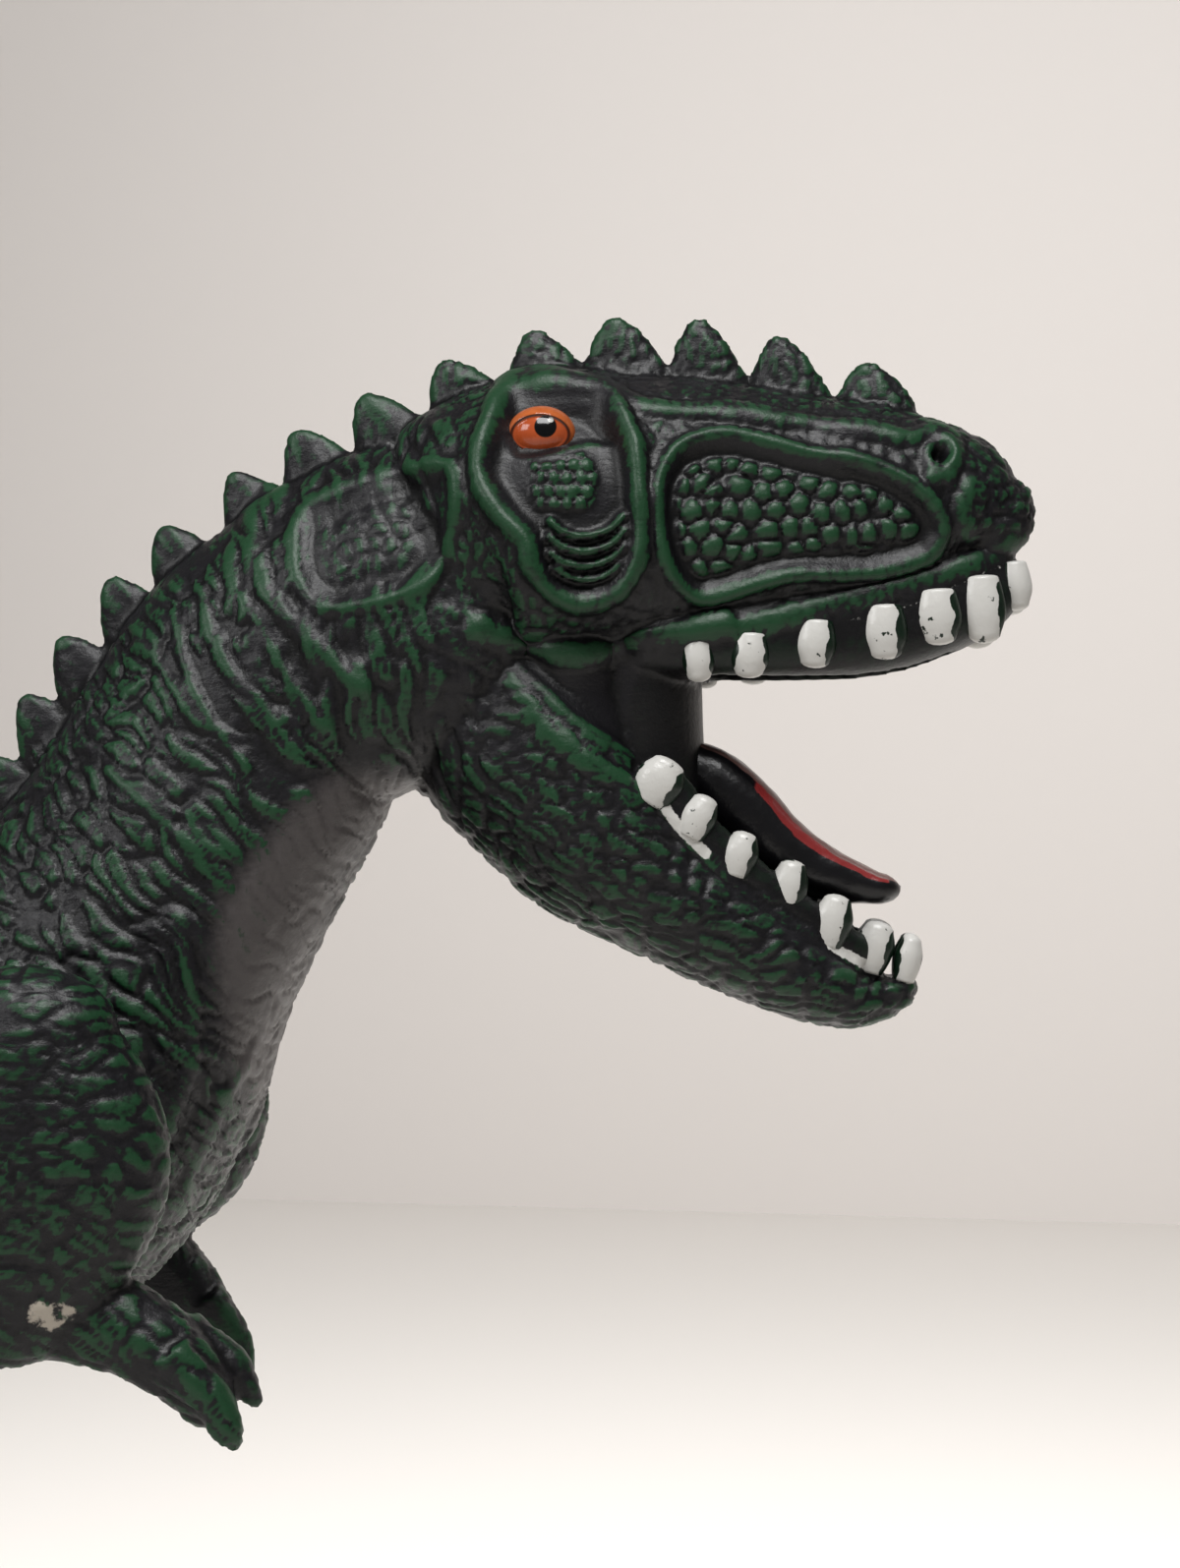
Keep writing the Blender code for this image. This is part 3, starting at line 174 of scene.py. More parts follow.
THROAT_WALL_SHARES = (
    (0.290, 0.170, 0, 0),
    (0.310, 0.090, 0.105, 0.300),
    (0.315, 0.000, 0.105, 0.290),
    (0.318, -0.090, 0.105, 0.270),
    (0.330, -0.170, 0.100, 0.250),
    (0.350, -0.260, 0, 0),
)
GUM_SHARES = (
    (0.260, 0.080, 0, 0),
    (0.330, 0.085, 0.078, 0.330),
    (0.450, 0.090, 0.083, 0.350),
    (0.600, 0.100, 0.092, 0.310),
    (0.720, 0.115, 0.098, 0.270),
    (0.820, 0.145, 0.095, 0.235),
    (0.900, 0.180, 0.085, 0.190),
    (0.938, 0.205, 0.060, 0.140),
    (0.968, 0.220, 0, 0),
)
PALATE_SHARES = (
    (0.400, 0.070, 0, 0),
    (0.450, 0.085, 0.110, 0.270),
    (0.600, 0.095, 0.115, 0.220),
    (0.720, 0.105, 0.110, 0.180),
    (0.810, 0.125, 0.095, 0.145),
    (0.870, 0.140, 0, 0),
)
GUM_SQUARES = (3, 4)
JAW_GUM_INSET = 3.2 * MM
JAW_GUM_LIFT = 1.5 * MM
JAW_GUM_HALF_HEIGHT = 5.5 * MM
JAW_GUM_STATIONS = (2.7, 3.2, 4, 5, 6, 6.9, 7.5, 7.9)
GUM_WALL = 6.2 * MM
TROUGH_DEPTH = 7.5 * MM
TROUGH_LIFT = 5 * MM
TROUGH_SQUARES = (2, 2.8)
TROUGH_STATIONS = (2.2, 2.7, 3.5, 4.5, 5.5, 6.5, 7.4, 7.8)
TOOTH_ROOT = 3 * MM
LEFT_ARM_BACK = math.radians(20)
ARM_UPPER_SHARES = (
    (0.00, 0.40, 0, 0),
    (0.02, 0.20, 0.260, 0.150),
    (0.06, -0.01, 0.320, 0.165),
    (0.03, -0.20, 0.270, 0.150),
    (-0.02, -0.33, 0.190, 0.125),
    (-0.08, -0.45, 0, 0),
)
FOREARM_SHARES = (
    (-0.14, -0.255, 0, 0),
    (-0.04, -0.300, 0.135, 0.115),
    (0.08, -0.325, 0.122, 0.108),
    (0.20, -0.360, 0.110, 0.100),
    (0.325, -0.415, 0.097, 0.092),
    (0.430, -0.495, 0.078, 0.078),
    (0.500, -0.580, 0, 0),
)
FINGER_SHARES = (
    ((0.38, -0.43), (0.475, -0.530), (0.535, -0.635), 0.058, 0.05),
    ((0.39, -0.40), (0.500, -0.470), (0.565, -0.560), 0.050, -0.05),
)
LEG_SHARES = (
    (-0.219, 0.604, 0, 0),
    (-0.204, 0.538, 0.071, 0.47),
    (-0.164, 0.475, 0.073, 0.50),
    (-0.124, 0.416, 0.058, 0.45),
    (-0.096, 0.362, 0.044, 0.38),
    (-0.106, 0.304, 0.035, 0.32),
    (-0.128, 0.252, 0.028, 0.26),
    (-0.146, 0.196, 0.023, 0.235),
    (-0.132, 0.140, 0.022, 0.235),
    (-0.112, 0.090, 0.023, 0.25),
    (-0.094, 0.040, 0.029, 0.32),
    (-0.086, -0.010, 0, 0),
)
ARM_OUT_SHARE = 0.75
FOREARM_IN_SHARE = 0.035
LEG_CENTRE_SHARE = 0.34
LEG_INSIDE_TO = 6
ANKLE_X_SHARE = -0.094
TOE_LENGTH = 52 * MM
TOE_RADIUS = 8 * MM
CLAW_LENGTH = 11 * MM
CLAW_RADIUS = 3.4 * MM
TOE_SPREADS = ((-26, 0.88), (0, 1.0), (26, 0.88), (168, 0.34))
TOE_TIP_SHARES = (1.03, 0.7)
CLAW_ROOT_SHARES = (0.93, 0.85)
CLAW_BEND_SHARES = (0.6, 0.8, 0.7)
CLAW_TIP_SHARE = 0.35
TOE_STATION_SHARES = ((0.05, 1.25), (0.30, 1.12), (0.50, 0.92), (0.66, 0.98), (0.88, 0.82))
SOLE_SINK = 1.2 * MM
TAIL_SHARES = (
    (0.094, 0.936, 0.42, 0.42),
    (0.202, 0.836, 0.35, 0.345),
    (0.310, 0.702, 0.285, 0.280),
    (0.410, 0.548, 0.235, 0.230),
    (0.505, 0.388, 0.190, 0.185),
    (0.592, 0.240, 0.155, 0.150),
    (0.680, 0.118, 0.125, 0.120),
    (0.773, 0.0500, 0.100, 0.092),
    (0.866, 0.0230, 0.076, 0.068),
    (0.945, 0.0175, 0.054, 0.048),
    (1.000, 0.0180, 0, 0),
)
FLOOR_SINK = 0.35 * MM
PLUG_STATION = 10.3
PLUG_RADIUS = 10 * MM
PLUG_HEAD_THICKNESS = 1.4 * MM
PLUG_SLOPE = 0.8 * MM
PLUG_REACH = 8 * MM


def place(x, z, y=0.0):
    """A place from its x and z in the part's source, before the figure is centred."""
    return Vector((x + SHIFT, y, z))


def blend_rows(rows, station):
    """Centre and half sizes on a smooth curve through the rows, poles left out."""
    first, last = 1, len(rows) - 2
    station = min(max(station, first), last)
    at = min(int(station), last - 1)
    t = station - at
    picked = [rows[min(max(at + k, first), last)] for k in (-1, 0, 1, 2)]
    weights = (
        (-t + 2 * t**2 - t**3) / 2,
        (2 - 5 * t**2 + 3 * t**3) / 2,
        (t + 4 * t**2 - 3 * t**3) / 2,
        (t**3 - t**2) / 2,
    )
    centre = sum((w * row[0] for w, row in zip(weights, picked)), Vector())
    up = sum(w * row[1] for w, row in zip(weights, picked))
    across = sum(w * row[2] for w, row in zip(weights, picked))
    return centre, up, across


def frame_at(rows, station, flip=1):
    """Centre, tangent, up and across at a station. Up lies in the side view."""
    step = 0.05
    ahead = blend_rows(rows, min(station + step, len(rows) - 2))[0]
    behind = blend_rows(rows, max(station - step, 1))[0]
    tangent = (ahead - behind).normalized()
    across = (ACROSS - ACROSS.dot(tangent) * tangent).normalized()
    return blend_rows(rows, station)[0], tangent, across.cross(tangent) * flip, across


def linked(name, data):
    """A new object of the scene that holds the data."""
    thing = bpy.data.objects.new(name, data)
    bpy.context.scene.collection.objects.link(thing)
    return thing


def meshed(shape, name):
    """The shape as a softly shaded mesh."""
    mesh = bpy.data.meshes.new(name)
    shape.to_mesh(mesh)
    shape.free()
    mesh.shade_smooth()
    return mesh


def close(shape, name):
    """The shape as an object, its faces turned outward."""
    shape.normal_update()
    bmesh.ops.recalc_face_normals(shape, faces=shape.faces)
    return linked(name, meshed(shape, name))


def numbers(rows, name):
    """A three-part property of each row of a collection."""
    values = np.empty(len(rows) * 3)
    rows.foreach_get(name, values)
    return values.reshape(-1, 3)


def swell(name, rows, count, sides, caps=4, squares=(2, 2), egg=0, flip=1):
    """A closed tube that swells and tapers along its rows: a unit sphere stretched over them."""
    last = len(rows) - 2
    rings = [("start", k / (caps + 1)) for k in range(1, caps + 1)]
    rings += [("tube", 1 + (last - 1) * k / (count - 1)) for k in range(count)]
    rings += [("end", k / (caps + 1)) for k in range(caps, 0, -1)]
    shape = bmesh.new()
    bmesh.ops.create_uvsphere(shape, u_segments=sides, v_segments=len(rings) + 1, radius=1)
    for vert in shape.verts:
        ring = round(math.acos(max(-1, min(1, vert.co.z))) / math.pi * (len(rings) + 1))
        turn = math.atan2(vert.co.y, vert.co.x)
        if ring == 0 or ring == len(rings) + 1:
            vert.co = rows[0][0] if ring == 0 else rows[-1][0]
            continue
        part, share = rings[ring - 1]
        station = {"start": 1, "end": last}.get(part, share)
        centre, _, up, across = frame_at(rows, station, flip)
        _, high, wide = blend_rows(rows, station)
        if part != "tube":
            pole = rows[0][0] if part == "start" else rows[-1][0]
            centre = pole.lerp(centre, 1 - math.cos(share * math.pi / 2))
        shrink = 1 if part == "tube" else math.sin(share * math.pi / 2)
        lift, spread = math.cos(turn), math.sin(turn)
        square = squares[0] if lift > 0 else squares[1]
        lift = math.copysign(abs(lift) ** (2 / square), lift)
        spread = math.copysign(abs(spread) ** (2 / square), spread) * (1 - egg * lift)
        vert.co = centre + shrink * (up * lift * high + across * spread * wide)
    return close(shape, name)


def drum(name, centre, axis, start, end, radius, segments=48, flare=1):
    """A round disc along an axis, wider at its start by the flare."""
    shape = bmesh.new()
    bmesh.ops.create_cone(
        shape, cap_ends=True, segments=segments, radius1=radius * flare, radius2=radius,
        depth=end - start,
    )
    turn = axis.to_track_quat("Z", "Y").to_matrix().to_4x4()
    move = Matrix.Translation(centre + axis * (start + end) / 2)
    bmesh.ops.transform(shape, matrix=move @ turn, verts=shape.verts)
    return close(shape, name)


def slab(name, low, high):
    """A box between two corners."""
    shape = bmesh.new()
    bmesh.ops.create_cube(shape, size=1)
    bmesh.ops.scale(shape, vec=high - low, verts=shape.verts)
    bmesh.ops.translate(shape, vec=(low + high) / 2, verts=shape.verts)
    return close(shape, name)


# Dense skins

class Skin:
    """A dense skin whose points are pushed out and in for relief, and painted point by point."""

    def __init__(self, name, mesh):
        self.name = name
        self.mesh = mesh
        ends = np.empty(len(mesh.edges) * 2, dtype=np.int64)
        mesh.edges.foreach_get("vertices", ends)
        self.starts, self.ends = ends.reshape(-1, 2).T
        count = len(mesh.vertices)
        links = np.bincount(self.starts, minlength=count) + np.bincount(self.ends, minlength=count)
        self.links = links + 1.0
        self.read()

    def read(self):
        self.mesh.update()
        self.points = numbers(self.mesh.vertices, "co")
        self.normals = numbers(self.mesh.vertex_normals, "vector")

    def push(self, height):
        """Move each point out along its normal."""
        moved = self.points + self.normals * height[:, None]
        self.mesh.vertices.foreach_set("co", moved.ravel())
        self.read()

    def spread(self, values, times):
        """Each value averaged with its neighbours', again and again."""
        count = len(self.links)
        columns = []
        for column in values.reshape(count, -1).T:
            for _ in range(times):
                column = (
                    column + np.bincount(self.starts, column[self.ends], count)
                    + np.bincount(self.ends, column[self.starts], count)
                ) / self.links
            columns.append(column)
        return np.stack(columns, axis=1).reshape(values.shape)

    def standing(self, times):
        """How far each point stands out of its surroundings, in metres."""
        level = self.spread(self.points, times)
        return np.einsum("ij,ij->i", self.points - level, self.normals)

    def paint(self, name, values):
        layer = self.mesh.attributes.new(name, "FLOAT", "POINT")
        layer.data.foreach_set("value", np.clip(values, 0, 1))

    def slices(self, body, names, borders=()):
        """Closed pieces on a body, cut at these x, with shading that runs on over the cuts."""
        layer = self.mesh.attributes.new("outward", "FLOAT_VECTOR", "POINT")
        layer.data.foreach_set("vector", self.normals.ravel())
        ends = [None, *borders, None]
        found = []
        for name, low, high in zip(names, ends, ends[1:]):
            shape = bmesh.new()
            shape.from_mesh(self.mesh)
            for border, clear in ((low, -1), (high, 1)):
                if border is not None:
                    bmesh.ops.bisect_plane(
                        shape, geom=shape.verts[:] + shape.edges[:] + shape.faces[:],
                        plane_co=(border, 0, 0), plane_no=(clear, 0, 0), clear_outer=True,
                    )
            rim = [edge for edge in shape.edges if edge.is_boundary]
            if rim:
                bmesh.ops.holes_fill(shape, edges=rim)
            mesh = meshed(shape, self.name)
            outward = numbers(mesh.attributes["outward"].data, "vector")
            mesh.normals_split_custom_set_from_vertices(outward.tolist())
            mesh.attributes.remove(mesh.attributes["outward"])
            piece = linked(name, mesh)
            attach(piece, body)
            found.append(piece)
        return found


def fused(name, forms, cuts, voxel, softening=2, late=()):
    """One even skin over the forms, less the cuts, with the late forms added after these."""
    base = forms[0]
    late = list(late)
    for step, (operation, tools) in enumerate((
        ("UNION", forms[1:]), ("DIFFERENCE", cuts), ("UNION", late),
    )):
        if tools:
            group = bpy.data.collections.new(f"{name}_{step}")
            for tool in tools:
                bpy.context.scene.collection.objects.unlink(tool)
                group.objects.link(tool)
            modifier = base.modifiers.new(operation, "BOOLEAN")
            modifier.operation = operation
            modifier.operand_type = "COLLECTION"
            modifier.collection = group
            modifier.solver = "EXACT"
    even = base.modifiers.new("even", "REMESH")
    even.mode = "VOXEL"
    even.voxel_size = voxel
    soft = base.modifiers.new("soft", "SMOOTH")
    soft.iterations = softening
    graph = bpy.context.evaluated_depsgraph_get()
    mesh = bpy.data.meshes.new_from_object(base.evaluated_get(graph))
    for thing in forms + cuts + late:
        bpy.data.objects.remove(thing, do_unlink=True)
    for group in [group for group in bpy.data.collections if group.name.startswith(name + "_")]:
        bpy.data.collections.remove(group)
    return Skin(name, mesh)


# Patterns over the skin, worked out at each point

def rise(low, high, value):
    """0 below low, 1 above high, and a soft step between."""
    share = np.clip((value - low) / (high - low), 0, 1)
    return share * share * (3 - 2 * share)


def scattered(cell, seed):
    """An even pseudo-random number from 0 to 1 for each whole cell."""
    mixed = (cell[:, 0] * 73856093) ^ (cell[:, 1] * 19349663) ^ (cell[:, 2] * 83492791)
    mixed = (mixed + seed * 2654435761) & 0xFFFFFFFF
    for _ in range(2):
        mixed = ((mixed ^ (mixed >> 16)) * 0x45D9F3B) & 0xFFFFFFFF
    return (mixed ^ (mixed >> 16)) / 0xFFFFFFFF


def lumps(points, size, seed=0):
    """Smooth noise from about -1 to 1, its lumps of the given size."""
    scaled = points / size
    base = np.floor(scaled).astype(np.int64)
    part = scaled - base
    fade = part**3 * (part * (part * 6 - 15) + 10)
    total = np.zeros(len(points))
    for corner in range(8):
        offset = np.array([(corner >> k) & 1 for k in range(3)])
        cell = base + offset
        slopes = np.stack([scattered(cell, seed + k) * 2 - 1 for k in range(3)], axis=1)
        weight = np.prod(np.where(offset == 1, fade, 1 - fade), axis=1)
        total += weight * np.einsum("ij,ij->i", slopes, part - offset)
    return total * 1.6


def smooth_line(line, closed=False, steps=4):
    """More points along a smooth curve through the given ones."""
    count = len(line)
    spots = []
    for k in range(count if closed else count - 1):
        near = [(k + shift) % count if closed else min(max(k + shift, 0), count - 1)
                for shift in (-1, 0, 1, 2)]
        a, b, c, d = [np.array(line[at], dtype=float) for at in near]
        for step in range(steps):
            t = step / steps
            spots.append((
                b * 2 + (c - a) * t + (a * 2 - b * 5 + c * 4 - d) * t**2
                + (b * 3 - a - c * 3 + d) * t**3
            ) / 2)
    spots.append(np.array(line[0] if closed else line[-1], dtype=float))
    return spots


def off_line(pixels, line, closed=False):
    """How far each seen point lies from a smooth line, in pixels, and how far along it."""
    spots = smooth_line(line, closed)
    best = np.full(len(pixels), 1e9)
    along = np.zeros(len(pixels))
    walked = 0.0
    for a, b in zip(spots, spots[1:]):
        run = b - a
        length = math.hypot(*run)
        t = np.clip(((pixels - a) @ run) / max(length**2, 1e-9), 0, 1)
        gap = np.hypot(*(pixels - (a + t[:, None] * run)).T)
        closer = gap < best
        best = np.where(closer, gap, best)
        along = np.where(closer, walked + t * length, along)
        walked += length
    return best, along


def inside(pixels, loop):
    """How deep each seen point lies inside a smooth loop, in pixels; outside is negative."""
    gap, _ = off_line(pixels, loop, True)
    spots = smooth_line(loop, True)
    held = np.zeros(len(pixels), dtype=bool)
    for a, b in zip(spots, spots[1:]):
        crosses = (a[1] > pixels[:, 1]) != (b[1] > pixels[:, 1])
        drop = b[1] - a[1] if abs(b[1] - a[1]) > 1e-9 else 1e-9
        held ^= crosses & (pixels[:, 0] < a[0] + (pixels[:, 1] - a[1]) / drop * (b[0] - a[0]))
    return np.where(held, gap, -gap)


def pebbles(pixels, pitch, jitter, seed):
    """Rounded pebbles packed side by side: 1 on their crowns, 0 in the gaps between."""
    spot_at = pixels / pitch
    base = np.floor(spot_at).astype(np.int64)
    nearest = np.full(len(pixels), 9.0)
    second = np.full(len(pixels), 9.0)
    for across in (-1, 0, 1):
        for down in (-1, 0, 1):
            cell = np.stack((base[:, 0] + across, base[:, 1] + down, base[:, 0] * 0), axis=1)
            middle_x = cell[:, 0] + 0.25 + (scattered(cell, seed) - 0.5) * jitter
            middle_x += 0.5 * (cell[:, 1] % 2)
            middle_y = cell[:, 1] + 0.5 + (scattered(cell, seed + 1) - 0.5) * jitter
            gap = np.hypot(middle_x - spot_at[:, 0], middle_y - spot_at[:, 1])
            second = np.minimum(second, np.maximum(gap, nearest))
            nearest = np.minimum(nearest, gap)
    return rise(0.0, 0.30, second - nearest) * np.sqrt(np.clip(1 - (nearest / 0.72) ** 2, 0, 1))


def cells(points, seed):
    """How much further the second nearest of the scattered spots is than the nearest."""
    base = np.floor(points).astype(np.int64)
    nearest = np.full(len(points), 9.0)
    second = np.full(len(points), 9.0)
    for corner in range(27):
        cell = base + np.array((corner % 3 - 1, corner // 3 % 3 - 1, corner // 9 - 1))
        gap = np.zeros(len(points))
        for k in range(3):
            gap += (cell[:, k] + 0.1 + 0.8 * scattered(cell, seed + k) - points[:, k]) ** 2
        second = np.minimum(second, np.maximum(gap, nearest))
        nearest = np.minimum(nearest, gap)
    return np.sqrt(second) - np.sqrt(nearest)


def unrolled(points, rows, samples=90):
    """Each point as its place along the rows, and up and across from their centre."""
    last = len(rows) - 2
    stations = np.linspace(1, last, samples).tolist()
    frames = [frame_at(rows, station) for station in stations]
    centres = np.array([spot for spot, _, _, _ in frames])
    run = np.concatenate(([0], np.cumsum(np.linalg.norm(np.diff(centres, axis=0), axis=1))))
    near = np.argmin(
        (points[:, 0:1] - centres[:, 0]) ** 2 + (points[:, 2:3] - centres[:, 2]) ** 2, axis=1
    )
    arm = points - centres[near]
    along = np.array([tangent for _, tangent, _, _ in frames])[near]
    up = np.array([lift for _, _, lift, _ in frames])[near]
    return np.stack((
        run[near] + np.einsum("ij,ij->i", arm, along), np.einsum("ij,ij->i", arm, up), arm[:, 1],
    ), axis=1)


# Relief, drawn in the photograph's pixels: (line, half width in pixels, height, closed)

EYE_RIM = (
    (546, 384), (512, 398), (497, 431), (487, 480), (508, 521), (534, 549), (541, 576),
    (558, 600), (590, 613), (625, 604), (645, 578), (652, 540), (648, 480), (640, 440),
    (620, 402), (582, 388),
)
PANEL_RIM = (
    (667, 507), (678, 470), (702, 449), (747, 443), (827, 462), (894, 475), (940, 502),
    (959, 534), (950, 560), (929, 572), (881, 582), (801, 585), (747, 601), (707, 607),
    (677, 574),
)
TEMPLE_RIM = (
    (344, 496), (306, 521), (298, 559), (306, 598), (335, 620), (411, 604), (446, 579),
    (462, 528), (456, 473), (400, 480),
)
EYE_SCALES = ((536, 466), (560, 462), (600, 452), (612, 486), (600, 518), (560, 522), (538, 508))
SOCKET = ((512, 416), (546, 398), (600, 404), (628, 430), (628, 452), (600, 448), (548, 462),
          (514, 458))
HEAD_ZONE = (
    (452, 350), (640, 330), (1080, 330), (1090, 720), (700, 720), (560, 700), (480, 660),
    (470, 560), (470, 440),
)
MOUTH_ZONE = (
    (646, 690), (672, 664), (700, 655), (760, 650), (827, 634), (900, 617), (960, 596),
    (1010, 578), (1046, 562), (1075, 640), (1050, 800), (960, 1000), (925, 990), (870, 976),
    (820, 940), (762, 896), (704, 848), (648, 772), (640, 730),
)
INNER_ZONE = (
    (560, 600), (700, 560), (960, 530), (1060, 560), (1070, 1000), (900, 1010), (780, 960),
    (690, 890), (600, 790), (560, 700),
)
WEB = (
    (508, 672), (560, 668), (640, 664), (700, 658), (652, 700), (641, 740), (645, 768),
    (600, 752), (560, 725), (530, 698),
)
THROAT_ZONE = (
    (425, 780), (440, 815), (400, 850), (367, 890), (340, 960), (310, 1060), (290, 1150),
    (250, 1150), (215, 1050), (205, 940), (240, 870), (300, 800), (350, 772),
)
ELBOW_WEAR = ((20, 1345), (32, 1322), (58, 1318), (84, 1330), (78, 1350), (50, 1362))
PEBBLE_PITCH = 22
EYE_SCALE_PITCH = 14
TEMPLE_PITCH = 17
SNOUT_PITCH = 15
PANEL_SINK = 1.5 * MM
PANEL_SWELL = 0.5 * MM
PEBBLE_HEIGHT = 1.5 * MM
EYE_SINK = 2.0 * MM
SOCKET_SINK = 1.6 * MM
EYE_SCALE_HEIGHT = 1.1 * MM
TEMPLE_SINK = 1.1 * MM
TEMPLE_HEIGHT = 0.45 * MM
SNOUT_HEIGHT = 0.6 * MM
NOSTRIL_SINK = 2.4 * MM
NOSTRIL_RIM = 0.7 * MM
SKIRT_SHARE = 0.25
SKIRT_SPREAD = 2.2
RIDGES = (
    (EYE_RIM, 13, 2.1 * MM, True),
    (PANEL_RIM, 10, 1.7 * MM, True),
    (TEMPLE_RIM, 10, 0.9 * MM, True),
    (((612, 392), (648, 412), (690, 418), (730, 420), (801, 428), (881, 438), (925, 446),
      (950, 440), (972, 456), (966, 482), (946, 486)), 12, 1.4 * MM, False),
    (((486, 640), (520, 652), (560, 662), (600, 662), (644, 650), (690, 640), (740, 636)),
     19, 1.7 * MM, False),
    (((985, 494), (977, 523), (985, 545)), 13, 0.8 * MM, False),
    (((690, 640), (750, 636), (800, 625), (850, 610), (900, 597), (960, 580), (1000, 565),
      (1040, 548)), 15, 0.9 * MM, False),
    (((520, 690), (560, 745), (620, 785), (660, 812), (720, 880), (780, 930), (860, 985)),
     15, 0.9 * MM, False),
    (((520, 672), (580, 730), (640, 770)), 10, 0.6 * MM, False),
    (((560, 530), (572, 540), (594, 545), (620, 538), (634, 524)), 6, 0.55 * MM, False),
    (((558, 545), (572, 556), (596, 561), (622, 553), (636, 538)), 6, 0.60 * MM, False),
    (((560, 562), (574, 572), (598, 576), (622, 568), (636, 554)), 6, 0.60 * MM, False),
    (((566, 578), (580, 587), (600, 590), (620, 583), (632, 571)), 6, 0.50 * MM, False),
    (((284, 496), (258, 527), (261, 579), (287, 623), (323, 660), (367, 700)),
     14, 1.1 * MM, False),
    (((240, 545), (236, 590), (264, 638), (293, 690), (330, 740)), 9, 0.7 * MM, False),
    (((205, 600), (212, 640), (240, 690), (268, 725), (305, 770)), 9, 0.65 * MM, False),
    (((176, 626), (188, 679), (211, 728), (250, 780)), 8, 0.6 * MM, False),
    (((136, 640), (164, 680), (188, 722)), 9, 0.7 * MM, False),
    (((111, 784), (153, 825), (188, 855), (223, 869)), 10, 0.7 * MM, False),
    (((191, 825), (205, 878), (223, 902)), 9, 0.6 * MM, False),
    (((183, 940), (190, 990), (196, 1040), (188, 1100), (150, 1180)), 13, 0.9 * MM, False),
    (((275, 1040), (240, 1100), (200, 1180), (185, 1230)), 9, 0.6 * MM, False),
)
NOSTRIL = (955, 463)
EYE = (550, 437)
EYE_HALF_WIDTH = 34
EYE_HALF_HEIGHT = 28
# Where the jaw's creases set in, and where those of the neck grow closer, in pixels
JAW_FROM = (430, 520)
NECK_DOWN = (420, 40)
# White paint that ran along the lips: the line, its half width and its strength
LIP_PAINT = (
    (((656, 788), (668, 808), (690, 840), (718, 868)), 6, 1.0),
    (((846, 962), (890, 986), (929, 996)), 6, 0.9),
    (((720, 872), (780, 922), (846, 962)), 4, 0.45),
    (((860, 632), (900, 622), (935, 612), (985, 590), (1040, 566)), 4, 0.55),
    (((784, 868), (812, 886), (842, 910)), 5, 0.9),
)


def ridge(gap, half):
    """The profile of a round ridge, 1 on its crown."""
    return np.clip(1 - (gap / half) ** 2, 0, 1) ** 1.1


def head_relief(skin):
    """Rims, ledges, pebbles and folds of the head and neck, on both flanks."""
    pixels = seen(skin.points)
    flank = rise(0.04, 0.34, skin.normals[:, 1] * np.sign(skin.points[:, 1]))
    height = np.zeros(len(pixels))
    rims = np.zeros(len(pixels))
    uneven = 1 + 0.35 * lumps(skin.points, 8 * MM, 70)
    for line, half, tall, closed in RIDGES:
        gap, _ = off_line(pixels, line, closed)
        crown = ridge(gap, half * uneven)
        skirt = SKIRT_SHARE * ridge(gap, half * SKIRT_SPREAD)
        height = np.maximum(height, tall * np.maximum(crown, skirt) * uneven)
        rims = np.maximum(rims, crown)
    free = 1 - rims
    panel = inside(pixels, PANEL_RIM)
    height -= PANEL_SINK * rise(4, 18, panel) * free
    studs = pebbles(pixels, PEBBLE_PITCH, 0.7, 3) * rise(17, 26, panel)
    height += PEBBLE_HEIGHT * studs + PANEL_SWELL * rise(17, 60, panel)
    height -= EYE_SINK * rise(2, 22, inside(pixels, EYE_RIM)) * free
    height -= SOCKET_SINK * rise(0, 16, inside(pixels, SOCKET))
    columns = pebbles(pixels, EYE_SCALE_PITCH, 0.15, 9) * rise(0, 8, inside(pixels, EYE_SCALES))
    height += EYE_SCALE_HEIGHT * columns
    temple = inside(pixels, TEMPLE_RIM)
    height -= TEMPLE_SINK * rise(4, 24, temple) * free
    bumps = pebbles(pixels, TEMPLE_PITCH, 1.0, 5) * rise(18, 46, temple)
    height += TEMPLE_HEIGHT * bumps
    hole = np.hypot(*(pixels - np.array(NOSTRIL)).T)
    height += NOSTRIL_RIM * ridge(hole - 13, 7) - NOSTRIL_SINK * (1 - rise(3, 11, hole))
    snout = rise(975, 1000, pixels[:, 0]) * rise(480, 500, pixels[:, 1])
    snout = snout * (1 - rise(535, 550, pixels[:, 1]))
    height += SNOUT_HEIGHT * pebbles(pixels, SNOUT_PITCH, 0.5, 11) * snout
    return height * flank, rims * flank, (studs + columns + 0.3 * bumps) * flank


# Creases: their depth and size, how far apart they lie round the form, their slant, their seed
CREASES = {
    "trunk": (0.85 * MM, 3.3 * MM, 0.17, 0.3, 0),
    "jaw": (0.6 * MM, 2.5 * MM, 0.36, 1.25, 31),
    "head": (0.34 * MM, 2.4 * MM, 0.5, 0.0, 61),
    "tail": (0.6 * MM, 3.2 * MM, 0.3, 0.2, 50),
    "arm": (0.42 * MM, 2.6 * MM, 0.30, 0.3, 80),
    "leg": (0.55 * MM, 3.0 * MM, 0.34, 0.3, 110),
}


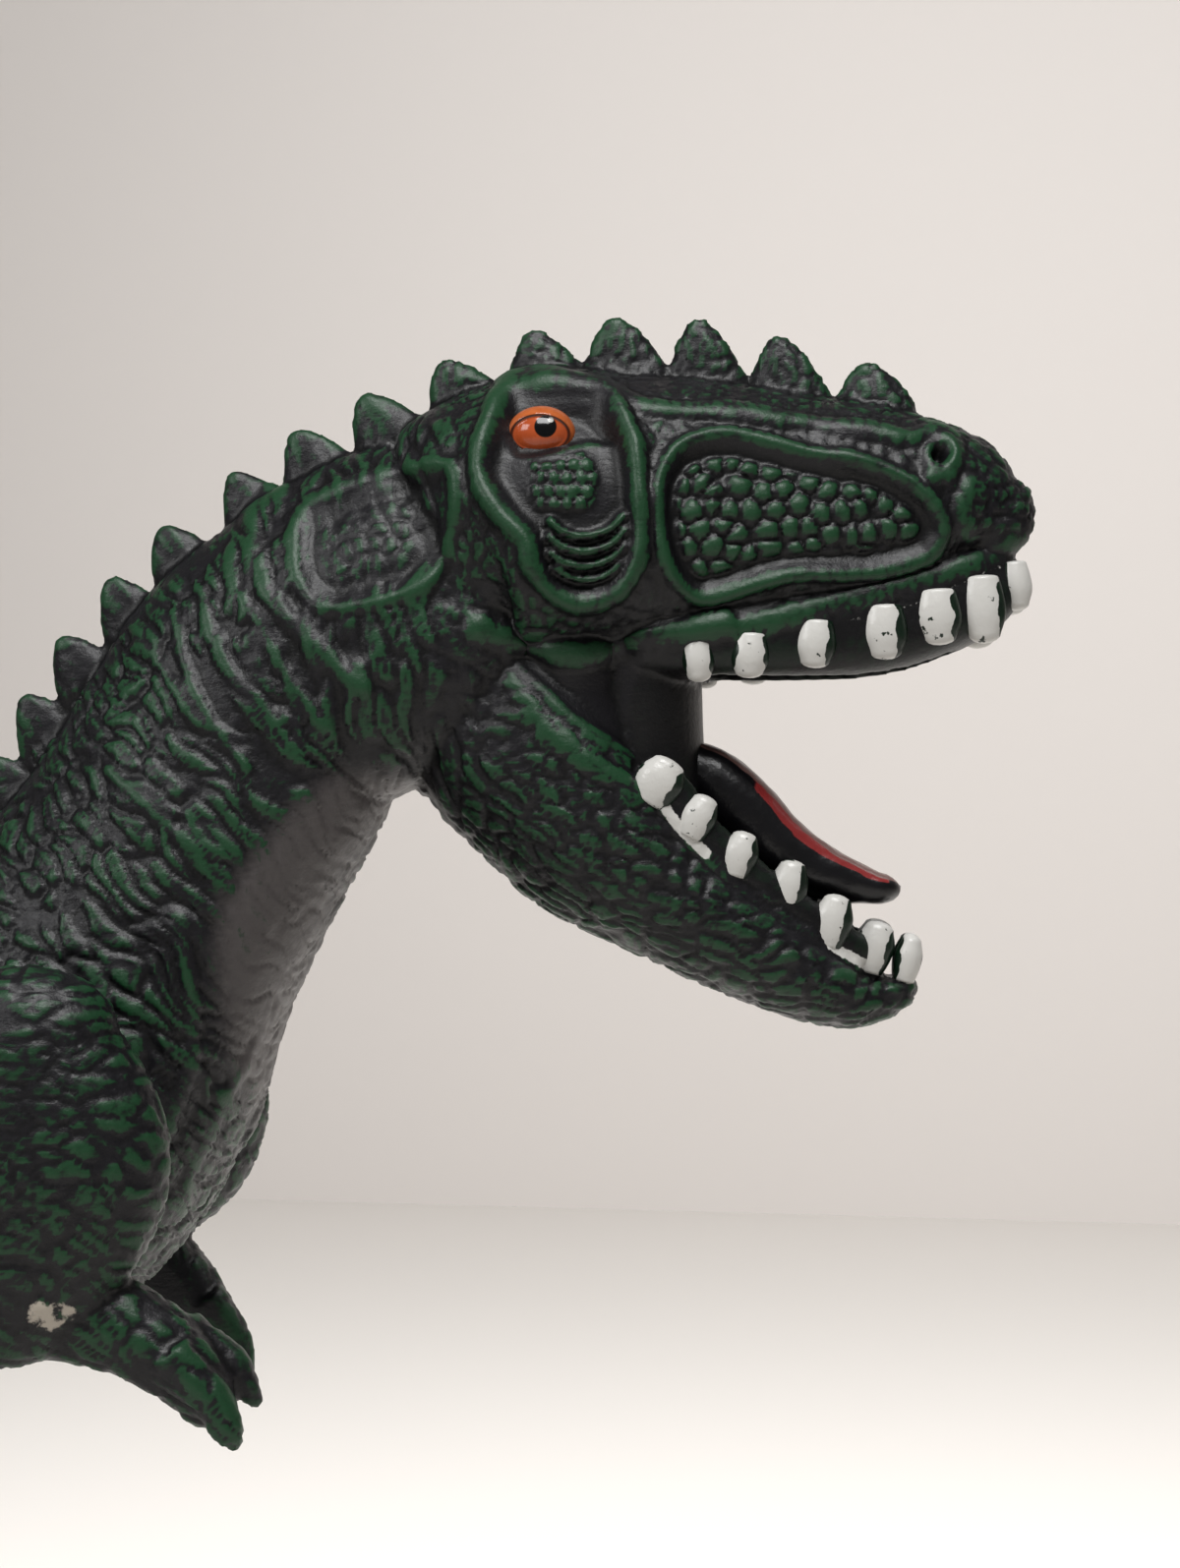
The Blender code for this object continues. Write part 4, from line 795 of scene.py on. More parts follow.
def wrinkles(skin, rows, kind, share, wider=0.0):
    """Leathery plateaus between creases that run round the form: their height and their tops."""
    deep, size, around, slant, seed = CREASES[kind]
    around = around + wider
    run, up, across = unrolled(skin.points, rows).T
    bend = [lumps(skin.points, size * 3.2, seed + k) * size * 0.75 for k in (20, 30, 40)]
    turned = np.stack((
        run * np.cos(slant) + up * np.sin(slant) + bend[0],
        (up * np.cos(slant) - run * np.sin(slant) + bend[1]) * around,
        (across + bend[2]) * around,
    ), axis=1) / size
    tops = rise(0.02, 0.28, cells(turned, seed))
    small = rise(0.0, 0.40, cells(turned * np.array((2.1, 2.6, 2.6)), seed + 5))
    broad = lumps(skin.points, size * 2.5, seed + 60)
    height = tops - 0.55 + 0.32 * (small - 0.6) + 0.35 * broad
    return deep * share * height, tops * (0.6 + 0.4 * small)


# Paint and finishes

class Finish:
    """A material whose nodes are joined as they are made."""

    def __init__(self, name, **inputs):
        self.material = bpy.data.materials.new(name)
        self.material.use_nodes = True
        self.nodes = self.material.node_tree.nodes
        self.links = self.material.node_tree.links
        self.shader = self.nodes["Principled BSDF"]
        self.set(self.shader, inputs)
        self.place = self.node("ShaderNodeTexCoord").outputs["Object"]

    def join(self, socket, value):
        """Fills a socket from another one or with a constant."""
        if isinstance(value, bpy.types.NodeSocket):
            self.links.new(value, socket)
        elif socket.type == "RGBA":
            socket.default_value = (*value, 1)
        else:
            socket.default_value = value

    def set(self, node, inputs):
        for name, value in inputs.items():
            self.join(node.inputs[name.replace("_", " ")], value)

    def node(self, kind, **options):
        made = self.nodes.new(kind)
        inputs = options.pop("inputs", {})
        for name, value in options.items():
            setattr(made, name, value)
        self.set(made, inputs)
        return made

    def grain(self, size, detail=2.0, stretch=None):
        """Noise from 0 to 1, its grains of the given size."""
        place_at = self.place
        if stretch:
            place_at = self.node(
                "ShaderNodeMapping", inputs={"Vector": self.place, "Scale": stretch}
            ).outputs[0]
        return self.node("ShaderNodeTexNoise", inputs={
            "Vector": place_at, "Scale": 1 / size, "Detail": detail, "Roughness": 0.6,
        }).outputs[0]

    def count(self, operation, first, second=0.0):
        made = self.node("ShaderNodeMath", operation=operation)
        for socket, value in zip(made.inputs, (first, second)):
            self.join(socket, value)
        return made.outputs[0]

    def plus(self, base, extra, share):
        """The base with a share of something more."""
        return self.count("ADD", base, self.count("MULTIPLY", extra, share))

    def layer(self, name):
        return self.node("ShaderNodeAttribute", attribute_name=name).outputs["Fac"]

    def edge(self, value, low, high):
        """A soft step of the value from low to high."""
        made = self.node("ShaderNodeMapRange", interpolation_type="SMOOTHSTEP")
        self.set(made, {"Value": value, "From_Min": low, "From_Max": high})
        return made.outputs[0]

    def over(self, under, colour, cover):
        """A colour laid over another where the cover is 1."""
        made = self.node("ShaderNodeMix", data_type="RGBA")
        for at, value in ((0, cover), (6, under), (7, colour)):
            self.join(made.inputs[at], value)
        return made.outputs[2]

    def shown(self, colour, bump=None, depth=0.1 * MM):
        """The material with its colour and, where given, fine bumps of this depth."""
        self.set(self.shader, {"Base_Color": colour})
        if bump is not None:
            self.set(self.shader, {"Normal": self.node("ShaderNodeBump", inputs={
                "Height": bump, "Distance": depth, "Strength": BUMP_STRENGTH,
            }).outputs[0]})
        return self.material


BUMP_STRENGTH = 0.6
CHARCOAL = (0.0065, 0.0060, 0.0080)
BLACK = (0.0022, 0.0022, 0.0027)
GREEN = (0.0044, 0.023, 0.0088)
BRIGHT_GREEN = (0.0105, 0.050, 0.0195)
THROAT_GREY = (0.074, 0.066, 0.065)
CHALK = (0.50, 0.45, 0.38)
WHITE = (0.60, 0.59, 0.56)
LID_ORANGES = (0.36, 0.075, 0.016), (0.58, 0.15, 0.04)
BALL_ORANGES = (0.36, 0.055, 0.012), (0.50, 0.10, 0.03)
LID_SHADE = (0.05, 0.012, 0.006)
TONGUE_REDS = (0.17, 0.012, 0.014), (0.27, 0.030, 0.028)
# Painted sheen on the tongue's upturned crown
TONGUE_SHEEN = (0.16, 0.085, 0.075)
FIBRES = (0.80, 0.79, 0.74), (0.66, 0.64, 0.58)
PLASTICS = (0.50, 0.49, 0.45), (0.42, 0.41, 0.38)


def skin_finish():
    """Charcoal vinyl, dry-brushed with green wherever the relief stands up, with painted shade,
    black, deep in its creases.
    """
    vinyl = Finish("skin_paint", Roughness=0.4, Specular_IOR_Level=0.36)
    fine = vinyl.grain(0.9 * MM, 3)
    streak = vinyl.grain(1.0 * MM, 3, (0.25, 1.0, 1.0))
    patch = vinyl.grain(7 * MM, 3)
    # Painted shade: black over the charcoal where the skin lies deep in its creases
    dark = vinyl.over(CHARCOAL, BLACK, vinyl.layer("deep"))
    throat_grey = vinyl.plus(vinyl.layer("throat_grey"), streak, 0.5)
    dark = vinyl.over(dark, THROAT_GREY, vinyl.edge(throat_grey, 0.45, 1.35))
    brush = vinyl.layer("brush")
    green = vinyl.over(
        GREEN, BRIGHT_GREEN, vinyl.edge(vinyl.plus(brush, streak, 0.8), 0.75, 1.35)
    )
    cover = vinyl.plus(vinyl.plus(brush, streak, 0.75), patch, 0.7)
    colour = vinyl.over(dark, green, vinyl.edge(cover, 1.14, 1.46))
    colour = vinyl.over(colour, BLACK, vinyl.layer("mouth"))
    worn = vinyl.count("ADD", vinyl.layer("worn"), vinyl.grain(2.6 * MM, 4))
    colour = vinyl.over(colour, CHALK, vinyl.edge(worn, 1.36, 1.5))
    white = vinyl.plus(vinyl.layer("white"), fine, 0.5)
    colour = vinyl.over(colour, WHITE, vinyl.edge(white, 0.80, 0.92))
    vinyl.set(vinyl.shader, {"Roughness": vinyl.node("ShaderNodeMapRange", inputs={
        "Value": fine, "To_Min": 0.30, "To_Max": 0.52,
    }).outputs[0]})
    return vinyl.shown(colour, vinyl.plus(vinyl.grain(0.7 * MM, 3), streak, 0.8), 0.14 * MM)


def tooth_finish():
    """White paint that only partly covers each dark moulded tooth."""
    paint = Finish("tooth_paint", Roughness=0.3)
    white = paint.plus(paint.layer("white"), paint.grain(1.6 * MM, 3), 0.5)
    missed = paint.edge(paint.grain(2.6 * MM, 3), 0.64, 0.68)
    under = paint.over(BLACK, GREEN, paint.grain(2 * MM))
    colour = paint.over(under, WHITE, paint.edge(white, 0.66, 0.76))
    colour = paint.over(colour, under, missed)
    return paint.shown(colour, paint.grain(1.2 * MM), 0.15 * MM)


def eye_finish(centre):
    """Orange lids round a darker ball, with a black pupil and a speck of light in it."""
    paint = Finish("eye_paint", Roughness=0.12)
    parts = paint.node("ShaderNodeSeparateXYZ", inputs={"Vector": paint.node(
        "ShaderNodeMapping", vector_type="TEXTURE", inputs={
            "Vector": paint.place, "Location": centre,
        }).outputs[0]})
    x, z = parts.outputs["X"], parts.outputs["Z"]

    def off(right, up):
        aside = paint.count("SUBTRACT", x, right)
        above = paint.count("SUBTRACT", z, up)
        return paint.count("SQRT", paint.count(
            "ADD", paint.count("MULTIPLY", aside, aside), paint.count("MULTIPLY", above, above)
        ))

    lids = paint.over(*LID_ORANGES, paint.grain(1.6 * MM))
    ball = paint.over(*BALL_ORANGES, paint.grain(1.2 * MM))
    opening = paint.layer("opening")
    colour = paint.over(lids, ball, paint.edge(opening, 0.44, 0.52))
    line = paint.count("ABSOLUTE", paint.count("SUBTRACT", opening, 0.48))
    colour = paint.over(LID_SHADE, colour, paint.edge(line, 0.01, 0.05))
    colour = paint.over(colour, BLACK, paint.edge(off(0, 0), *PUPIL_EDGE))
    colour = paint.over(colour, WHITE, paint.edge(off(*GLINT_AT), *GLINT_EDGE))
    return paint.shown(colour)


def tongue_finish():
    """Red paint along a dark tongue, with a painted sheen, pale and greyish, over the red on its
    crown.
    """
    paint = Finish("tongue_paint", Roughness=0.28)
    ragged = paint.grain(1.4 * MM)
    red = paint.over(*TONGUE_REDS, paint.grain(3 * MM))
    dark = paint.over(BLACK, CHARCOAL, paint.grain(5 * MM))
    reddened = paint.plus(paint.layer("red"), ragged, 0.3)
    colour = paint.over(dark, red, paint.edge(reddened, 0.55, 0.65))
    sheened = paint.plus(paint.layer("sheen"), ragged, 0.3)
    # Painted sheen: a pale colour over the red where the top faces most upward
    colour = paint.over(colour, TONGUE_SHEEN, paint.edge(sheened, 0.6, 0.75))
    return paint.shown(colour, paint.grain(1.5 * MM), 0.15 * MM)


def hidden_finish(name, colours, grain, roughness):
    """A plain moulded or packed stuff, mottled a little."""
    stuff = Finish(name, Roughness=roughness)
    tint = stuff.over(*colours, stuff.grain(grain))
    return stuff.shown(tint, stuff.grain(grain / 3))


# The figure's forms in the frame

def trunk_rows():
    return [
        (place(x * FIGURE_HEIGHT, z * FIGURE_HEIGHT), up * TRUNK_DEPTH, wide * TRUNK_WIDTH)
        for x, z, up, wide in TRUNK_SHARES
    ]


def head_point(x, z, y=0.0):
    return place(
        HEAD_AT_SHARE[0] * FIGURE_HEIGHT + x * HEAD_LENGTH,
        HEAD_AT_SHARE[1] * FIGURE_HEIGHT + z * HEAD_LENGTH, y,
    )


def head_rows(shares):
    return [(head_point(x, z), up * HEAD_LENGTH, wide * HEAD_WIDTH) for x, z, up, wide in shares]


def arm_point(x, z, middle, back):
    """A place on an arm that hangs turned back about the shoulder, from shares of its length."""
    swung = Matrix.Rotation(back, 3, "Y") @ Vector((x, 0, z)) * ARM_LENGTH
    return SHOULDER_SPOT + Vector((swung.x, middle, swung.z))


def arm_rows(shares, middle, back):
    return [
        (arm_point(x, z, middle, back), up * ARM_LENGTH, wide * ARM_LENGTH)
        for x, z, up, wide in shares
    ]


def leg_rows(middle):
    return [
        (place(x * FIGURE_HEIGHT, z * FIGURE_HEIGHT, middle), up * FIGURE_HEIGHT, wide * LEG_WIDTH)
        for x, z, up, wide in LEG_SHARES
    ]


def tail_rows(trunk):
    centre, high, wide = blend_rows(trunk, SOCKET_ROW)
    rows = [(trunk[SOCKET_ROW - 2][0], 0, 0)] + trunk[SOCKET_ROW - 1:SOCKET_ROW + 1]
    for x, z, up, across in TAIL_SHARES:
        rows.append((
            Vector((centre.x - x * TAIL_LENGTH, 0, centre.z * z - FLOOR_SINK)),
            up * 2 * high, across * 2 * wide,
        ))
    return rows


SHOULDER_SPOT = Vector((SHOULDER.x, 0, SHOULDER.z))
HIP_SPOT = Vector((HIP.x, 0, HIP.z))

# Crest fins that the photograph shows: the middle of the foot and the tip, in pixels, and
# the foot's length; the rest follow along the back
FINS = (
    ((886, 416), (878, 372), 78),
    ((800, 404), (788, 344), 78),
    ((718, 394), (708, 326), 80),
    ((636, 388), (624, 324), 90),
    ((556, 390), (540, 336), 78),
    ((475, 416), (448, 366), 80),
    ((397, 448), (366, 400), 78),
    ((326, 486), (296, 436), 78),
    ((262, 530), (232, 478), 74),
    ((190, 586), (158, 534), 80),
    ((134, 638), (104, 586), 74),
    ((86, 696), (54, 646), 74),
    ((46, 756), (14, 706), 72),
    ((12, 818), (-18, 770), 72),
)
FIN_PROFILE_SHARES = (
    (-0.6, 0.56, 0.5), (0.0, 0.54, 0.5), (0.35, 0.43, 0.42), (0.7, 0.29, 0.32),
    (0.92, 0.15, 0.22),
)
FIN_WIDTH_SHARE = 0.42
FIN_ROOT = 5 * MM
BACK_FINS_FROM_SHARE = 7.15
BACK_FINS_TO_SHARE = 12.6
BACK_FIN_COUNT = 12
# Length, height, and the share that the last fin of the row is smaller
BACK_FIN_SIZE = (11.5 * MM, 8.6 * MM, 0.2)
TAIL_FIN_SIZE = (9.5 * MM, 6.8 * MM, 0.55)
TAIL_FINS_FROM_SHARE = 2.5
TAIL_FINS_TO_SHARE = 10.5
TAIL_FIN_COUNT = 14


def fin(name, foot, tip, length):
    """A thick leaf that stands from its foot to its tip, deep rooted and blunt."""
    rise_up = (tip - foot).normalized()
    root = foot - rise_up * FIN_ROOT
    width = length * FIN_WIDTH_SHARE
    rows = [(root - rise_up * MM, 0, 0)]
    for share, long, wide in FIN_PROFILE_SHARES:
        centre = foot.lerp(tip, share) if share > 0 else foot + rise_up * FIN_ROOT * share
        rows.append((centre, long * length, wide * width))
    rows.append((tip, 0, 0))
    return swell(name, rows, 12, 20, caps=2)


def even_fins(name, rows, first, last, count, length, tall, shrink):
    """Fins spaced evenly along the back's outline, growing smaller towards the tail."""
    stations = np.linspace(first, last, count * 12).tolist()
    spots = []
    for station in stations:
        centre, _, up, _ = frame_at(rows, station)
        spots.append((centre + up * blend_rows(rows, station)[1], up, station))
    run = [0.0]
    for a, b in zip(spots, spots[1:]):
        run.append(run[-1] + (b[0] - a[0]).length)
    found = []
    for k in range(count):
        goal = run[-1] * k / (count - 1)
        foot, up, station = spots[min(range(len(run)), key=lambda at: abs(run[at] - goal))]
        size = 1 - shrink * k / (count - 1)
        tangent = frame_at(rows, station)[1]
        tip = foot + (up * tall + tangent * tall * 0.25) * size
        found.append(fin(f"{name}_{k}", foot - up * MM, tip, length * size))
    return found


def straight(name, centre, axis, start, end, high, wide, inset):
    """A straight piece of the trunk's section, smaller by the inset."""
    near, far = centre + axis * start, centre + axis * end
    high, wide = high - inset, wide - inset
    rows = [(near, 0, 0), (near, high, wide), (far, high, wide), (far, 0, 0)]
    return swell(name, rows, 2, 40, caps=0, squares=TRUNK_SQUARES, egg=TRUNK_EGG_SHARE)


def jaw_band(jaw, stations, lift, half_height, inset):
    """Rows of a tube along the jaw's upper edge, narrower than it by the inset."""
    rows = []
    for station in stations:
        centre, _, up, _ = frame_at(jaw, station, -1)
        _, high, wide = blend_rows(jaw, station)
        rows.append((centre + up * (high + lift), half_height, max(wide - inset, TOOTH_ROOT)))
    return [(rows[0][0], 0, 0)] + rows[1:-1] + [(rows[-1][0], 0, 0)]


# What the green brush leaves: everywhere, on the tops between creases, on what stands out a
# little or a lot, on the rims, on the pebbles, and by chance over broad patches
BRUSH_BASE = 0.08
BRUSH_SHARES = (0.36, 0.16, 0.26, 0.16, 0.3, 0.34)


def brushed(skin, tops, rims=0.0, studs=0.0):
    """Where the green brush caught: the tops of the folds, and the rims."""
    fine = np.clip(skin.standing(3) / (0.05 * MM), -1, 1)
    broad = np.clip(skin.standing(16) / (0.30 * MM), -1, 1.2)
    wide = lumps(skin.points, 16 * MM, 90)
    patchy = 1 + 0.9 * lumps(skin.points, 5 * MM, 91)
    caught = (tops, fine, broad, rims * patchy, studs, wide)
    return BRUSH_BASE + sum(share * part for share, part in zip(BRUSH_SHARES, caught))


def crease_shade_mask(skin):
    """How much painted shade darkens the skin where it lies deep between its folds."""
    return rise(0.02, 0.26, -skin.standing(10) / MM)


def build_trunk():
    """The head, neck and trunk in one painted skin, and the rows it follows."""
    trunk = trunk_rows()
    skull = head_rows(SKULL_SHARES)
    jaw = head_rows(JAW_SHARES)
    centre, axis, _, _ = frame_at(trunk, SOCKET_ROW)
    _, high, wide = blend_rows(trunk, SOCKET_ROW)
    forms = [
        swell("trunk_form", trunk, 90, 72, squares=TRUNK_SQUARES, egg=TRUNK_EGG_SHARE),
        swell("skull_form", skull, 56, 56, squares=(2.1, 3), egg=0.1, flip=-1),
        swell("jaw_form", jaw, 44, 44, squares=(3, 2.1), egg=-0.06, flip=-1),
        swell("cheek_form", head_rows(CHEEK_SHARES), 20, 40),
        swell("gum_form", head_rows(GUM_SHARES), 40, 40, squares=GUM_SQUARES, flip=-1),
        swell("jaw_gum", jaw_band(jaw, JAW_GUM_STATIONS, JAW_GUM_LIFT, JAW_GUM_HALF_HEIGHT,
                                  JAW_GUM_INSET), 40, 40, squares=GUM_SQUARES, flip=-1),
    ]
    for k, (foot, tip, length) in enumerate(FINS):
        forms.append(fin(f"fin_{k}", spot(*foot), spot(*tip), length * PIXEL))
    forms += even_fins("back_fin", trunk, BACK_FINS_FROM_SHARE, BACK_FINS_TO_SHARE,
                       BACK_FIN_COUNT, *BACK_FIN_SIZE)
    cuts = [
        drum("rear_cut", centre, axis, 0, TRUNK_DEPTH * 2, TRUNK_DEPTH),
        straight("socket_cut", centre, axis, -(SPIGOT_LENGTH + SKIN_WALL), SKIN_WALL, high, wide,
                 SKIN_WALL + SOCKET_LIP),
        swell("palate_cut", head_rows(PALATE_SHARES), 30, 40, squares=GUM_SQUARES, flip=-1),
        swell("trough_cut", jaw_band(jaw, TROUGH_STATIONS, TROUGH_LIFT,
                                     TROUGH_DEPTH + TROUGH_LIFT, GUM_WALL),
              40, 40, squares=TROUGH_SQUARES, flip=-1),
    ]
    for side, word in SIDES:
        for at, radius in ((SHOULDER_SPOT, SHOULDER_PAD_RADIUS), (HIP_SPOT, HIP_PAD_RADIUS)):
            forms.append(drum(f"pad_{word}", at, ACROSS * side, PAD * 0.5, PAD, radius, 64, 1.6))
    throat_wall = swell("throat_wall", head_rows(THROAT_WALL_SHARES), 20, 40)
    skin = fused("trunk", forms, cuts, VOXEL, late=[throat_wall])
    relief, rims, studs = head_relief(skin)
    pixels = seen(skin.points)
    head = rise(-12, 12, inside(pixels, HEAD_ZONE))
    x, y, _ = skin.points.T
    in_jaw = rise(*(spot(px, 0).x for px in JAW_FROM), x) * (1 - head)
    in_trunk = (1 - head) * (1 - in_jaw)
    flat = 1 - rise(PAD - 1.6 * MM, PAD - 0.6 * MM, np.abs(y))
    mouth = mouth_share(skin)
    calm = (1 - 0.55 * under_throat(pixels)) * (1 - 0.8 * on_fins(pixels))
    lower = rise(*(spot(px, 0).x for px in NECK_DOWN), x)
    folded, tops = wrinkles(skin, trunk, "trunk", in_trunk * calm, 0.2 * lower)
    along_jaw, jaw_tops = wrinkles(skin, jaw, "jaw", in_jaw)
    on_head, head_tops = wrinkles(skin, skull, "head", head)
    tops = tops * in_trunk + jaw_tops * in_jaw + head_tops * head
    web = rise(-4, 14, inside(pixels, WEB))
    smooth = np.maximum.reduce([web] + [
        share * rise(-4, 8, inside(pixels, rim))
        for rim, share in ((EYE_RIM, 1), (PANEL_RIM, 1), (TEMPLE_RIM, 0.6))
    ])
    height = (folded + along_jaw + on_head) * (1 - 0.8 * rims) * (1 - studs) * (1 - smooth)
    height = (relief + height) * (1 - mouth)
    rear = (skin.points - np.array(centre)) @ np.array(axis)
    height *= flat * (1 - rise(-2.5 * MM, -0.5 * MM, rear))
    skin.push(height)
    plug, _, down, _ = frame_at(trunk, PLUG_STATION)
    plug_at = plug - down * blend_rows(trunk, PLUG_STATION)[1]
    arm = skin.points - np.array(plug_at)
    reach = np.linalg.norm(arm - (arm @ np.array(down))[:, None] * np.array(down), axis=1)
    under = 1 - rise(PLUG_RADIUS, PLUG_RADIUS + PLUG_SLOPE, reach)
    under = under * (arm @ np.array(down) < PLUG_REACH)
    skin.push(-under * (PLUG_HEAD_THICKNESS + 2 * GAP))
    pixels = seen(skin.points)
    throat = under_throat(pixels) * (1 - head)
    skin.paint("brush", brushed(skin, tops, rims, studs) - 0.5 * throat - 0.3 * web)
    skin.paint("throat_grey", throat)
    # Painted shade in the creases
    skin.paint("deep", crease_shade_mask(skin))
    skin.paint("mouth", 0.85 * mouth)
    skin.paint("worn", np.zeros(len(x)))
    white = np.zeros(len(x))
    outer = rise(0.1, 0.4, skin.normals[:, 1] * np.sign(skin.points[:, 1]))
    for line, half, strength in LIP_PAINT:
        white = np.maximum(white, strength * ridge(off_line(pixels, line)[0], half * 1.6))
    skin.paint("white", white * outer)
    return skin, trunk


def on_fins(pixels):
    """1 on the fins that the sight line shows, 0 on the back below them."""
    found = np.zeros(len(pixels))
    for foot, tip, length in FINS:
        up = np.array(tip, float) - np.array(foot)
        tall = np.linalg.norm(up)
        arm = pixels - np.array(foot)
        high = arm @ up / tall
        aside = np.abs(arm @ np.array((-up[1], up[0]))) / tall
        near = 1 - rise(length * 0.5, length * 0.7, aside)
        found = np.maximum(found, rise(-6, 8, high) * near)
    return found


def mouth_share(skin):
    """1 on what lies inside the mouth, 0 on the outer skin."""
    pixels = seen(skin.points)
    out = np.abs(skin.points[:, 1])
    column = np.floor(skin.points[:, (0, 2)] / (1.2 * MM)).astype(np.int64)
    column -= column.min(axis=0)
    outermost = np.zeros(column.max(axis=0) + 1)
    np.maximum.at(outermost, (column[:, 0], column[:, 1]), out)
    covered = rise(2.2 * MM, 4.0 * MM, outermost[column[:, 0], column[:, 1]] - out)
    between = rise(-3, 5, inside(pixels, MOUTH_ZONE))
    return np.maximum(between, covered * rise(-4, 12, inside(pixels, INNER_ZONE)))


def under_throat(pixels):
    """1 on the grey patch under the throat, with a soft edge."""
    return rise(-18, 40, inside(pixels, THROAT_ZONE))


def sight(pixel):
    """The way from the camera to a pixel of the photograph."""
    px, py = pixel
    ahead = VIEW * CAMERA_DISTANCE + VIEW_RIGHT * (px - FRAME_WIDE / 2) * PIXEL
    return ahead - VIEW_UP * (py - FRAME_HIGH / 2) * PIXEL


def through(pixel, tree, side):
    """Where a pixel's sight line meets the skin, mirrored for the left side, and its normal."""
    hit, normal, _, _ = tree.ray_cast(EYE_POINT, sight(pixel).normalized())
    if hit is None:
        return None, None
    if side > 0:
        hit, normal = Vector((hit.x, -hit.y, hit.z)), Vector((normal.x, -normal.y, normal.z))
    return hit, normal


def flat_spot(pixel, y):
    """The place that a pixel shows, at a distance y from the middle plane, on either side."""
    ahead = sight(pixel)
    found = EYE_POINT + ahead * ((-abs(y) - EYE_POINT.y) / ahead.y)
    return Vector((found.x, y, found.z))


def tooth_seat(foot, tip, tree, side):
    """The skin behind a tooth's middle, or nearer its foot where nothing lies behind it."""
    for share in TOOTH_SEAT_SHARES:
        pixel = [low + (high - low) * share for low, high in zip(foot, tip)]
        at, outward = through(pixel, tree, side)
        if at is not None and at.y * side > 0:
            break
    else:
        at, outward = spot(*foot, side * TOOTH_HALF_DEPTH), Vector((0, side, 0))
    if abs(outward.y) < 0.3:
        outward = Vector((0, side, 0))
    return at, outward


# Each tooth's foot and tip, its half width, and how far its white paint missed to the side
UPPER_TEETH = (
    ((709, 648), (711, 696), 16, 0.0), ((764, 644), (762, 691), 19, 0.0),
    ((832, 630), (829, 680), 20, -0.25), ((900, 614), (902, 671), 22, -0.3),
    ((954, 598), (957, 656), 23, -0.2), ((1000, 585), (1004, 655), 22, -0.15),
    ((1034, 571), (1039, 622), 16, 0.1),
)
LOWER_TEETH = (
    ((656, 816), (683, 772), 24, -0.1), ((702, 852), (722, 809), 18, -0.2),
    ((748, 890), (762, 844), 18, -0.25), ((798, 926), (811, 872), 19, -0.3),
    ((842, 962), (856, 908), 20, -0.3), ((884, 988), (900, 936), 20, -0.25),
    ((919, 996), (929, 948), 14, 0.2),
)
TOOTH_HALF_DEPTH = 2.6 * MM
TOOTH_SINK_SHARE = 0.3
TOOTH_WHITE_SHARE = 0.72
TOOTH_SEAT_SHARES = (0.5, 0.3, 0.15, 0.0, -0.15)
TOOTH_PROFILE_SHARES = (
    (0.05, 0.78, 0.75), (0.32, 0.96, 0.97), (0.6, 1.0, 1.0), (0.85, 0.74, 0.78),
)


def peg(name, foot, tip, half, outward):
    """A blunt peg of a tooth, standing half out of the gum."""
    sink = outward * TOOTH_HALF_DEPTH * TOOTH_SINK_SHARE
    rows = [(foot - sink, 0, 0)]
    for share, long, wide in TOOTH_PROFILE_SHARES:
        rows.append((
            foot.lerp(tip, share) - sink, half * long, TOOTH_HALF_DEPTH * wide,
        ))
    rows.append((tip - sink, 0, 0))
    return swell(name, rows, 16, 28, caps=3, squares=(2.05, 2.05))


def merged(name, things):
    """The things as one mesh."""
    shape = bmesh.new()
    for thing in things:
        shape.from_mesh(thing.data)
        bpy.data.objects.remove(thing, do_unlink=True)
    return linked(name, meshed(shape, name))


def build_teeth(tree, white):
    """Each jaw's rows, with white paint that missed the edges of the teeth."""
    for jaw_name, teeth in (("upper", UPPER_TEETH), ("lower", LOWER_TEETH)):
        for side, word in SIDES:
            pegs, cover = [], []
            for k, (foot, tip, half, missed) in enumerate(teeth):
                at, outward = tooth_seat(foot, tip, tree, side)
                low, high = flat_spot(foot, at.y), flat_spot(tip, at.y)
                pegs.append(peg(f"tooth_{k}", low, high, half * PIXEL, outward))
                points = np.array([vert.co for vert in pegs[-1].data.vertices])
                axis = (high - low).normalized()
                aside = Vector((abs(axis.z), 0, -axis.x * (1 if axis.z > 0 else -1)))
                shift = (points - np.array(low)) @ np.array(aside) / (half * PIXEL) - missed
                rough = lumps(points, 2.2 * MM, 40 + k) * 0.18
                cover.append(rise(0.16, -0.16, np.abs(shift) - TOOTH_WHITE_SHARE + rough))
            piece = merged(f"{jaw_name}_teeth_{word}", pegs)
            layer = piece.data.attributes.new("white", "FLOAT", "POINT")
            layer.data.foreach_set("value", np.concatenate(cover))
            piece.data.materials.append(white)
            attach(piece, "trunk")


EYE_STAND = 1.2 * MM
EYE_HALF_DEPTH = 5.2 * MM
EYE_OPENING = (0.80, 0.62)
LID_THICKNESS = 0.7 * MM
PUPIL_SHIFT = (6, 1)
PUPIL_EDGE = (2.05 * MM, 1.85 * MM)
GLINT_AT = (0.9 * MM, 1.2 * MM)
GLINT_EDGE = (0.6 * MM, 0.35 * MM)


